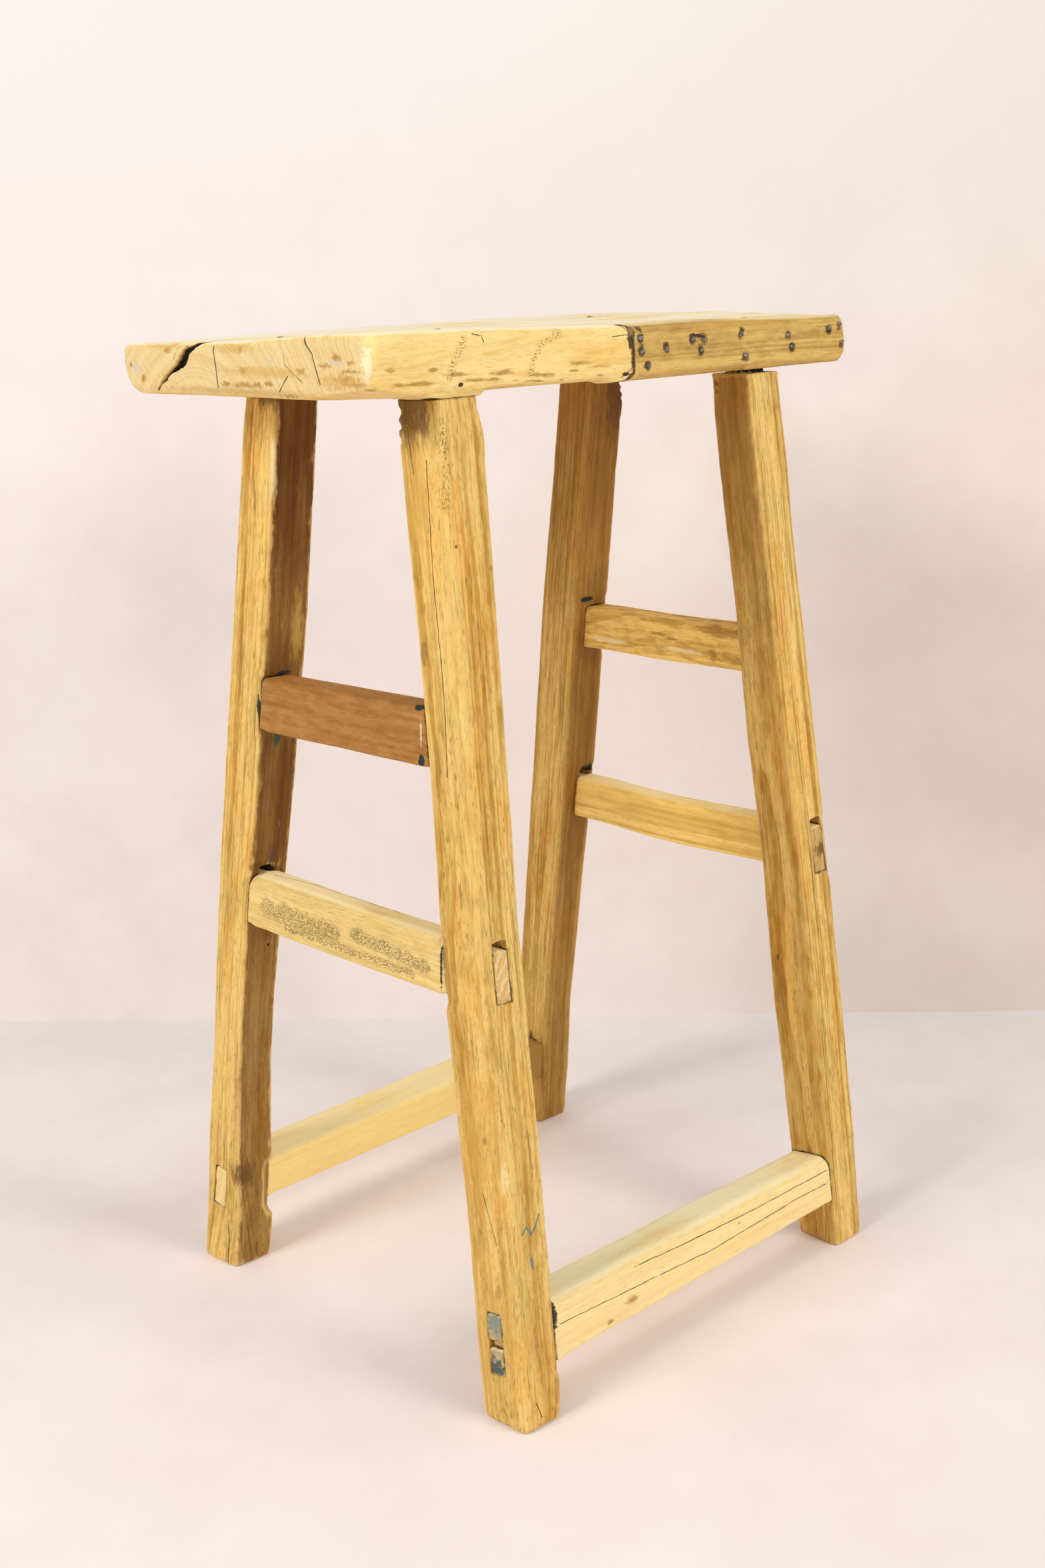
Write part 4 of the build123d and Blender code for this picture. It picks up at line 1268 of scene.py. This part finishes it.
# The gap marks paint the shade in the gaps at the joints.
LEG_MARKS = {
    # The sooty marks at the tops of the legs are soot with painted shade of the seat over it.
    "leg_front_left": dict(
        seed=1.7, pith=(70, 34), inner=INNER_DARK_AND_SHADE, scrape_and_highlight=0.35,
        marks=(("soot_and_shade", (-183, -72, 658), (8, 24, 34)), ("smear", (-168, -111, 519), (1.4, 6, 24)),
               ("knot", (-178.6, -104.2, 572.8), (1.8, 6, 1.8)),
               ("knot", (-173.8, -106.9, 552), (0.8, 6, 4)),
               ("smear", (-187, -84, 506), (6, 4, 9)), ("smear", (-191.6, -118, 352), (6, 1.8, 24)),
               ("knot", (-196.2, -140.4, 196.4), (6, 2.4, 2.8)),
               ("scrape", (-197.2, -128.5, 164), (6, 3, 1.4)),
               ("scrape", (-195, -156, 176), (5, 3, 13)), ("smear", (-199.3, -153.6, 94), (4, 3, 7)),
               ("teal", (-180, -164.7, 112.8), (1.6, 6, 5)), ("golden", (-196, -150, 60), (30, 30, 60)),
               ("golden", (-184, -76, 600), (9, 16, 46)), ("golden", (-197, -134, 185), (10, 24, 70)),
               ("smear", (-184, -174, 60), (1.6, 8, 34)), ("smear", (-172, -160, 190), (1.6, 10, 40))),
        cracks=((0.4, 1.6, ON_LEFT, ((-183.1, -69, 643), (-184, -74.9, 615))),
                (0.45, 1.4, ON_LEFT, ((-183.6, -85.7, 624), (-185.7, -91.6, 552), (-187.4, -99.4, 495),
                                      (-188.3, -102.5, 466), (-189.5, -104.5, 430))),
                (0.35, 1.2, ON_LEFT, ((-197.3, -138.8, 160), (-198.3, -151.4, 127))),
                (0.5, 1.5, ON_FRONT, ((-189.9, -177, 19.3), (-185.9, -178.4, 8.1)))),
        teal_runs=((0.9, 1.2, ON_FRONT, ((-186, -162, 134), (-181.5, -162, 138), (-178, -162, 131.5),
                                         (-174, -162, 136), (-170, -162, 143))),),
        pore_runs=((3.5, 2.0, ON_FRONT, ((-178.8, -94.8, 648), (-179.6, -97.9, 620.7),
                                         (-181.6, -101, 597))),)),
    "leg_rear_left": dict(
        seed=4.2, pith=(48, 60), inner=INNER_DARK_AND_SHADE,
        marks=(("cream", (-183.6, 65, 600), (3.4, 3.4, 40)), ("golden", (-159, 79, 500), (7, 9, 38)),
               ("smear", (-184.5, 85, 596), (6, 1.6, 30)), ("hole", (-172.1, 109.4, 262.1), (2.2, 3, 2.6)),
               ("gap", (-188.4, 86.8, 446), (4, 1.8, 10)), ("gap", (-170, 83, 468), (10, 4, 1.6)),
               ("deep_teal", (-173, 89, 420), (4, 4, 6)), ("deep_teal", (-173.7, 101.4, 331), (3, 4, 9)),
               ("soot_and_shade", (-184, 104, 327), (9, 8, 6)), ("gap", (-171.3, 109, 321), (7, 9, 4)),
               ("soot_and_shade", (-190, 132, 78), (12, 8, 16)), ("soot_and_shade", (-180, 70, 660), (18, 20, 16))),
        cracks=((0.5, 1.4, ON_LEFT, ((-200.9, 143.7, 37.7), (-201.0, 141.5, 21.6), (-198.8, 143, 0))),)),
    "leg_rear_right": dict(
        seed=7.9, pith=(40, 70), inner=INNER_BROWN_AND_SHADE, scrape_and_highlight=0.1, seam_dirt_and_shade=0.3,
        marks=(("deep_teal", (141, 150.1, 85.2), (3, 3, 5)), ("hole", (120, 74, 590), (3, 5, 6)),
               ("soot_and_shade", (152, 62, 645), (20, 14, 44)), ("smear", (143, 138, 50), (4, 3, 30)),
               ("gap", (158, 101, 333), (8, 9, 4)), ("gap", (139, 81, 480.5), (9, 5, 2.4)),
               ("smear", (146, 84, 500), (10, 8, 14)), ("smear", (140, 84, 440), (10, 8, 12)))),
    "leg_front_right": dict(
        seed=11.3, pith=(80, 20), gap=5.2, inner=INNER_BROWN_AND_SHADE, scrape_and_highlight=0.3,
        shares={"Rings": 0.34, "Bands": 0.3, "Fibres": 0.2, "Mottle": 0.16},
        marks=(("knot", (135.9, -121.3, 227.4), (5, 1.5, 4)),
               ("gap", (138, -80, 667), (36, 26, 4.4)))),
}
for node, facts in LEG_MARKS.items():
    dress(CARVED[node], node + "_wood", tints=(OILED, SPLASHED), **LEG_COLOURS, **facts)

# %% [markdown]
# No two stretchers match. The upper left one is a newer, reddish, rough-sawn piece, the lower left
# one is peppered with fine pits, the right pair is resinous with wide rings, and the low rails are a
# pale softwood with long drying cracks. So each has its own colours and marks in one table.

# %% Stretcher finishes
# The gap marks here paint the shade in the gaps beside the legs.
STRETCHER_FINISHES = {
    "left_upper_stretcher": dict(
        pale=(0.44, 0.21, 0.052), deep=(0.33, 0.14, 0.028), inner=(0.28, 0.11, 0.03), seed=2.2, saw=0.2,
        shares={"Rings": 0.08, "Bands": 0.2, "Fibres": 0.14, "Mottle": 0.3}, lines=0.05, roughness=0.75,
        scrape_and_highlight=0.2, marks=(("gap", (-186, -77, 470), (6, 5, 3)), ("gap", (-188.6, -80, 436), (6, 3, 5)),
                           ("cream", (-188, -79.5, 453), (4, 1.2, 12)))),
    "left_lower_stretcher": dict(
        pale=(0.86, 0.62, 0.23), deep=(0.62, 0.40, 0.11), inner=(0.60, 0.36, 0.10), seed=5.1,
        bleach=(1.0, 0.85, 0.50), end_tint=(0.74, 0.48, 0.17), saw=0.8, lines=0.15, shares=PALE_GRAIN,
        pore_colour=(0.20, 0.145, 0.05), pore_level=0.47,
        marks=(("gap", (-192.6, -98.5, 304), (6, 1.4, 18)), ("burnish", (-179, -148, 288), (12, 8, 6))),
        pore_runs=((9.0, 6.0, ON_LEFT, ((-192.6, 84, 301), (-192.6, 10, 300))),
                   (7.0, 5.0, ON_LEFT, ((-192.6, -12, 304), (-192.6, -84, 300))),
                   (4.0, 4.0, ON_LEFT, ((-192.6, 60, 292), (-192.6, -70, 291)))),
        cracks=((0.4, 1.5, (1, 1, 0.07), ((-181, 87.5, 320.2), (-175.5, 51, 320), (-174, 2.6, 319.9),
                                          (-173.9, -38.3, 319.9))),)),
    "right_upper_stretcher": dict(
        pale=(0.97, 0.64, 0.17), deep=(0.58, 0.32, 0.05), inner=(0.88, 0.57, 0.15), seed=9.4, gap=9.0,
        pith=(10, 16), waver=44.0, shares={"Rings": 0.26, "Bands": 0.16, "Fibres": 0.12, "Mottle": 0.3},
        end_tint=(0.6, 0.38, 0.13), lines=0.15,
        marks=(("smear", (138.9, 5, 461.5), (6, 16, 1.4)), ("smear", (138.9, -9, 459.4), (6, 10, 1.2)),
               ("stain", (138.6, -58, 471), (8, 32, 6)), ("golden", (139, 60, 469), (6, 24, 4)),
               ("golden", (139, 38, 455), (6, 6, 9)), ("stain", (139, -50, 452), (6, 4, 6)),
               ("cream", (139, 56, 450), (6, 26, 3)), ("cream", (139, -20, 451.5), (6, 26, 2.6)))),
    "right_lower_stretcher": dict(
        pale=(0.98, 0.67, 0.20), deep=(0.68, 0.41, 0.08), inner=(0.92, 0.61, 0.17), seed=12.6, gap=7.5,
        pith=(50, 10), shares={"Rings": 0.34, "Bands": 0.16, "Fibres": 0.18, "Mottle": 0.1}, lines=0.15,
        bleach=(1.0, 0.82, 0.44), end_tint=(0.52, 0.31, 0.09), seam_dirt_and_shade=0.6,
        marks=(("soot_and_shade", (160, -139, 312), (9, 5, 7)),)),
    "front_stretcher": dict(
        pale=(0.98, 0.74, 0.33), deep=(0.88, 0.58, 0.19), inner=(0.72, 0.45, 0.13), seed=15.2, level=0.26,
        bleach=(1.0, 0.93, 0.60), end_tint=(0.42, 0.31, 0.16), shares=PALE_GRAIN, lines=0.1,
        marks=(("burnish", (-90, -172.5, 51), (9, 6, 4)), ("slate", (-201, -151, 72), (5, 9, 10)),
               ("burnish", (-112, -172.5, 44), (4, 6, 2.4)), ("burnish", (30, -171, 62), (3, 6, 1.6)),
               ("deep_teal", (-201, -153, 39), (5, 10, 11)), ("gap", (-165.5, -168, 70), (4.6, 10, 12))),
        cracks=((0.4, 1.4, ON_FRONT, ((-83.5, -169.2, 71.7), (-30, -169.9, 68.9), (51.3, -170.4, 65.6),
                                      (140.2, -170.6, 64.1))),
                (0.4, 1.4, ON_FRONT, ((-159.8, -170.9, 61.9), (-92.7, -171.4, 58), (-4.6, -171.9, 53.7),
                                      (99.8, -171.7, 55.4), (137.1, -171.9, 53.8))))),
    "rear_stretcher": dict(
        pale=(1.0, 0.72, 0.26), deep=(1.0, 0.61, 0.18), inner=(1.0, 0.72, 0.26), seed=18.8, level=0.2,
        bleach=(1.0, 0.84, 0.46), end_tint=(0.86, 0.62, 0.28), saw=0.1, shares=PALE_GRAIN,
        lines=0.1, seam_dirt_and_shade=0.2, marks=(("browned", (137, 141, 60), (21, 20, 34)),)),
}
for node, facts in STRETCHER_FINISHES.items():
    dress(CARVED[node], node + "_wood", **facts)

# %% [markdown]
# The seat's end grain was sawn, then polished brown wherever a hand or a wall rubbed it. Its front
# face has dark streaks and two arcs of open pores. Where the strip is let in runs a dark ragged seam,
# and every nail has bled a crisp, uneven stain into the wood round it. The renderer has room for
# only a dozen or so crack runs in one material, so the seat's skin is shared among four alike.

# %% Seat marks
# Each patch is a kind, its place on the face, and its reach along the face and up it.
END_PATCHES = (("burnish", 40.4, 667.9, 8, 2.5), ("burnish", 23.3, 668.4, 7, 2.5),
               ("burnish", 7.8, 668.5, 5.5, 2.5), ("burnish", -2.2, 669.2, 7, 2.5),
               ("burnish", 102.5, 687.5, 5.5, 2.5), ("burnish", 144.8, 677.3, 2, 2.5),
               ("burnish", 131.3, 668.6, 4, 3), ("burnish", -34.5, 677.5, 8, 2.5),
               ("burnish", -56.6, 681.2, 8, 2), ("burnish", -68, 686, 7, 3),
               ("burnish", -79.8, 683.2, 5.5, 2), ("burnish", -79.4, 678.3, 12, 1.6),
               ("burnish", -76.1, 673.7, 13.6, 2.5), ("burnish", -94.8, 675.9, 5.5, 3),
               ("burnish", 24.6, 689.3, 5.5, 2.5), ("burnish", -18.6, 662.1, 10, 2),
               ("burnish", 22.4, 676.5, 4, 3), ("lilac", 138.1, 674.9, 6, 4.5),
               ("burnish", 20, 667.6, 28, 2), ("burnish", -84, 671, 16, 1.6), ("golden", 0, 676, 60, 5),
               ("golden", -70, 672, 30, 6), ("golden", 30, 690, 30, 4), ("golden", 110, 690, 30, 3),
               ("lilac", -4.8, 683.1, 4, 2), ("lilac", -67.7, 683, 8, 2), ("shadow", 30, 663.6, 120, 3.2))
# The hole patches paint the shade inside small holes; the shadow patch paints the shade under the low
# arris.
FRONT_PATCHES = (("burnish", -220.2, 679.2, 6, 2.5), ("burnish", -164.4, 674.7, 19, 2.0),
                 ("burnish", -202.4, 670.1, 22, 2.2), ("burnish", -127.6, 674, 14, 2.0),
                 ("burnish", -133.5, 670.2, 9, 1.7), ("burnish", -89.3, 671.2, 22, 1.9),
                 ("burnish", -58.4, 677, 12, 1.8), ("smear", -186, 677.9, 4, 1.6),
                 ("smear", -64.7, 672.7, 6, 1.2), ("smear", -39.5, 669.1, 6, 1.2),
                 ("hole", -163.5, 668.3, 2.4, 1.5), ("deep_teal", -116, 668.9, 5, 0.6),
                 ("smear", -102, 668.2, 9, 0.9), ("deep_teal", -94, 667.4, 8, 0.5),
                 ("smear", -74, 667.4, 3, 0.8), ("burnish", -150, 670.5, 16, 1.2),
                 ("burnish", -36, 674.5, 14, 1.3), ("shadow", -120, 664.4, 112, 3.4),
                 ("hole", -14, 668.5, 4, 1.6))
CORNER_MARKS = (("chalky", (-234.5, -92.5, 684), (4, 4, 13)), ("burnish", (-233, -93.5, 667), (6, 6, 3)))
PATCH_DEPTH = 6


def end_marks(patches):
    return tuple((kind, (END_FACE, y, z), (PATCH_DEPTH, wide, tall)) for kind, y, z, wide, tall in patches)


def front_marks(patches):
    return tuple((kind, (x, FRONT_FACE - 0.1, z), (wide, PATCH_DEPTH, tall))
                 for kind, x, z, wide, tall in patches)


SEAT_MARKS = end_marks(END_PATCHES) + front_marks(FRONT_PATCHES) + CORNER_MARKS
print(len(SEAT_MARKS), "marks on the seat")

# %% Seat cracks and pores
SEAM = ((-16.7, -91.8, 699.6), (-12.6, -95.2, 696.6), (-8.7, -96, 693.1), (-6.1, -96, 687.9),
        (-5.5, -96, 681.5), (-4.9, -96, 677.2), (-6.9, -96, 673), (-9.5, -96, 670.5),
        (-14.6, -96, 667.7), (-17.8, -95.4, 666.1))


def on_end(*knots):
    return tuple((END_FACE, y, z) for y, z in knots)


def on_front(*knots):
    return tuple((x, FRONT_FACE, z) for x, z in knots)


REAR_END_CRACKS = (
    (1.0, 1.5, ON_LEFT, on_end(*(knot[:2] for knot in BIG_CRACK[1::2]))),
    (0.65, 1.0, ON_LEFT, on_end((52.6, 690.5), (50.4, 678.7), (49.7, 665.5))),
    (0.38, 1.0, ON_LEFT, on_end((89.9, 690.2), (95.8, 682.2))),
)
NEAR_END_CRACKS = (
    (0.65, 1.0, ON_LEFT, on_end((-35.7, 697), (-45.4, 687.9), (-49.5, 676.8), (-52, 670.3))),
    (0.55, 1.0, ON_LEFT, on_end((-21.5, 674.1), (-12.2, 664.7))),
    (0.3, 1.0, ON_LEFT, on_end((-18.1, 686.2), (-19.5, 680.7), (-35.8, 670.6))),
)
SEAM_CRACKS = (
    (0.35, 1.2, ON_FRONT, SEAM[::2] + SEAM[-1:]),
    (0.35, 1.2, ON_FRONT, on_front((-27.7, 692.8), (-11.4, 693.6))),
)
TOP_CRACKS = (
    (0.6, 1.5, ON_FRONT, ((-152, -92, 698), (-145, -92.8, 696.8), (-144, -95.7, 692.8))),
    (0.3, 1.5, (1, 1, 0.07), ((-122.6, -69.7, 698), (-55.6, -39.5, 699))),
)
SEAT_PORES = (
    (3.6, 2.0, ON_FRONT, on_front((-159.3, 695.2), (-168.4, 683), (-172.7, 673.4))),
    (3.4, 2.0, ON_FRONT, on_front((-76, 697), (-93.7, 689.7), (-101.1, 678.6), (-102.4, 672.5))),
)

# %% Seat finish
SEAT_FACTS = dict(
    pale=(0.92, 0.68, 0.26), deep=(0.78, 0.48, 0.12), inner=(0.80, 0.50, 0.15), gap=5.0, pith=(30, -60),
    shares={"Rings": 0.16, "Bands": 0.18, "Fibres": 0.14, "Mottle": 0.18}, level=0.34, lines=0.08,
    tints=(((1, 0.84, 0.60), 0.6, 0.5),), bleach=(1.0, 0.93, 0.75), end_tint=(0.78, 0.60, 0.29), saw=0.16,
    seed=21.0, marks=SEAT_MARKS, cut=True)
place_marks(seat, SEAT_MARKS)
wear(seat, wood_finish("seat_face_wood", cracks=TOP_CRACKS, pore_runs=SEAT_PORES, **SEAT_FACTS),
     wood_finish("seat_seam_wood", cracks=SEAM_CRACKS, **SEAT_FACTS),
     wood_finish("seat_rear_end_wood", cracks=REAR_END_CRACKS, **SEAT_FACTS),
     wood_finish("seat_near_end_wood", cracks=NEAR_END_CRACKS, **SEAT_FACTS))
middles = np.zeros(len(seat.data.polygons) * 3, np.float32)
seat.data.polygons.foreach_get("center", middles)
across_x, across_y = middles[::3] / MM, middles[1::3] / MM
FACE, BY_SEAM, REAR_END, NEAR_END = range(4)
region = np.where((across_x > -45) & (across_y < -85), BY_SEAM, FACE)
region = np.where(across_x < END_FACE + 9, np.where(across_y > 20, REAR_END, NEAR_END), region)
seat.data.polygons.foreach_set("material_index", region.astype(np.int32))

# %% [markdown]
# The strip is a browner wood than the plank. Every nail has bled a crisp, uneven stain into it, and
# two clinched nails left a dark groove between them. Its marks and cracks are laid as the seat's are.
# The wedges are plain darker slips, and need no marks at all.

# %% Strip and wedge finishes
NAIL_STAINS = (
    ("rust", 0.9, 684.3, 4.4, 3.2), ("rust", 26.2, 685.7, 3.4, 2.4), ("rust", 62.7, 681.9, 4.6, 4.2),
    ("rust", 6, 672, 4.2, 2.6), ("rust", 107.9, 694.1, 4.2, 2.6), ("rust", 112.2, 674.4, 5.4, 3.6),
    ("rust", 161, 689.5, 4.2, 3.2), ("rust", 166, 678.1, 4.2, 3), ("rust", 210.4, 692.5, 4.8, 3.8),
    ("rust", 60.5, 691.4, 11, 3.2), ("rust", -0.5, 697, 4, 2), ("rust", 223.8, 692.6, 4, 3.4),
    ("rust", 226.8, 680, 4, 3.4), ("golden", 110, 697.4, 125, 3.2), ("shadow", 110, 667.4, 125, 4.4))
dress(strip, "let_in_strip_wood", pale=(0.71, 0.465, 0.13), deep=(0.46, 0.265, 0.06),
      inner=(0.5, 0.28, 0.07), gap=7.0, pith=(10, 90), seed=24.0, bleach=(0.96, 0.78, 0.46), lines=0.12,
      shares={"Rings": 0.2, "Bands": 0.26, "Fibres": 0.16, "Mottle": 0.18},
      marks=front_marks(NAIL_STAINS),
      cracks=((0.35, 1.2, ON_FRONT, SEAM),
              (0.9, 1.5, ON_FRONT, on_front((54.8, 691.9), (66.9, 690.2))),
              (0.6, 1.0, ON_FRONT, on_front((-3, 698), (2, 694.5))),
              (0.6, 1.0, ON_FRONT, on_front((105.5, 695.3), (110, 693)))))
for node in WEDGES:
    dress(CARVED[node], node + "_wood", pale=(0.6, 0.36, 0.12), deep=(0.4, 0.2, 0.06),
          inner=(0.5, 0.3, 0.1), seed=27.0)


# %% [markdown]
# Nail iron is dark, brown in blotches where it has rusted, with brighter metal between them where
# later sanding caught the heads. Its pits are a fine bump.

# %% Nail finish
def iron_finish():
    material, tree, shader = new_material("forged_nail_iron")
    place = put(tree, "TexCoord").outputs["Object"]
    rust = use_group(tree, BLOTCH, {"Vector": place, "Scale": (420, 420, 420), "Level": 0.4,
                                    "Softness": 0.2, "Seed": 2.0})["Mask"]
    colour = mix(tree, rust, (0.32, 0.30, 0.27), (0.08, 0.048, 0.028))
    fill(tree, shader.inputs["Base Color"], colour)
    fill(tree, shader.inputs["Metallic"], ramp(tree, rust, 1.0, 0.0))
    fill(tree, shader.inputs["Roughness"], maths(tree, "ADD", maths(tree, "MULTIPLY", rust, 0.4), 0.4))
    pits = noise(tree, place, 1400.0, 3.0)
    bump = put(tree, "Bump", {"Strength": 0.6, "Distance": 0.2 * MM, "Height": pits})
    fill(tree, shader.inputs["Normal"], bump.outputs["Normal"])
    return material


wear(nails, iron_finish())

# %% [markdown]
# The stool stands on a pale pinkish paper floor before a wall of the same colour. The wall only
# shows to the camera, and only from its front, so that it neither shades the stool nor blocks the
# view from behind.

# %% Floor and wall
WALL_BEHIND = 456 * MM
STAGE_HALF = 4.0
look = Vector((math.sin(CAMERA_TURN), math.cos(CAMERA_TURN), 0))


def paper(name, low, high, painted_light_high=None):
    """Mottled paper; on a wall, painted light greys it above the seat and painted shade darkens it towards
    the right.
    """
    material, tree, shader = new_material(name)
    place = put(tree, "TexCoord").outputs["Object"]
    mottle = noise(tree, place, 5.0, 6.0, 0.65)
    colour = mix(tree, ramp(tree, mottle, 0.3, 0.7), low, high)
    if painted_light_high:
        # Painted light: the wall turns greyer above the seat.
        height = put(tree, "SeparateXYZ", {"Vector": place}).outputs["Z"]
        colour = mix(tree, ramp(tree, height, 0.55, 0.98), colour, painted_light_high)
        # Painted shade: the wall darkens towards the right.
        across = vectors(tree, "DOT_PRODUCT", place, tuple(level_right))
        colour = mix(tree, ramp(tree, across, -0.1, 0.6), colour, (0.93, 0.89, 0.83), "MULTIPLY")
    fill(tree, shader.inputs["Base Color"], colour)
    shader.inputs["Roughness"].default_value = 0.9
    shader.inputs["Specular IOR Level"].default_value = 0.0
    return material, tree, shader


def flat_sheet(name, material):
    body = bmesh.new()
    bmesh.ops.create_grid(body, x_segments=1, y_segments=1, size=STAGE_HALF)
    sheet = object_from(name, body)
    wear(sheet, material)
    return sheet


flat_sheet("floor", paper("floor_paper", (0.875, 0.77, 0.73), (0.935, 0.84, 0.80))[0])
wall_paper, wall_tree, wall_shader = paper("wall_paper", (0.80, 0.715, 0.685), (0.86, 0.79, 0.76),
                                           (0.785, 0.77, 0.75))
wall = flat_sheet("wall", wall_paper)
facing = Matrix((level_right, Vector((0, 0, 1)), -look)).transposed().to_4x4()
wall.data.transform(Matrix.Translation(look * WALL_BEHIND + Vector((0, 0, STAGE_HALF))) @ facing)
rays = put(wall_tree, "LightPath").outputs
front = maths(wall_tree, "SUBTRACT", 1.0, put(wall_tree, "NewGeometry").outputs["Backfacing"])
seen = maths(wall_tree, "MAXIMUM", rays["Is Camera Ray"], rays["Is Glossy Ray"])
shown = maths(wall_tree, "MULTIPLY", maths(wall_tree, "MAXIMUM", seen, rays["Is Transmission Ray"]), front)
both = put(wall_tree, "MixShader", {0: shown, 1: put(wall_tree, "BsdfTransparent").outputs[0],
                                    2: wall_shader.outputs[0]})
fill(wall_tree, wall_tree.nodes["Material Output"].inputs["Surface"], both.outputs[0])
print("wall", round(WALL_BEHIND / MM), "mm behind the stool's middle")

# %% [markdown]
# The light is soft and comes from two sides: a broad lamp high on the left, a weaker one on the
# right, and a pale sky all round. Their strengths are set so that a colour renders about as written.

# %% Lamps and sky
MIDDLE_OF_STOOL = Vector((0, 0, 0.35))


def soft_lamp(name, toward_right, toward_camera, height, size, power):
    data = bpy.data.lights.new(name, "AREA")
    data.shape, data.size, data.energy = "DISK", size, power
    lamp = add_object(name, data)
    lamp.location = level_right * toward_right - look * toward_camera + Vector((0, 0, height))
    aim = MIDDLE_OF_STOOL - lamp.location
    lamp.rotation_euler = aim.to_track_quat("-Z", "Y").to_euler()
    print(name, "power", power, "at", [round(c, 2) for c in lamp.location])


soft_lamp("left_lamp", -2.2, 2.0, 2.3, 1.3, 59)
soft_lamp("right_lamp", 2.4, 1.6, 2.0, 1.5, 42)
world = bpy.data.worlds.new("sky")
bpy.context.scene.world = world
world.use_nodes = True
world.node_tree.nodes["Background"].inputs["Color"].default_value = (1.0, 1.0, 1.0, 1)
world.node_tree.nodes["Background"].inputs["Strength"].default_value = 0.55
bpy.context.scene.view_settings.view_transform = "Standard"
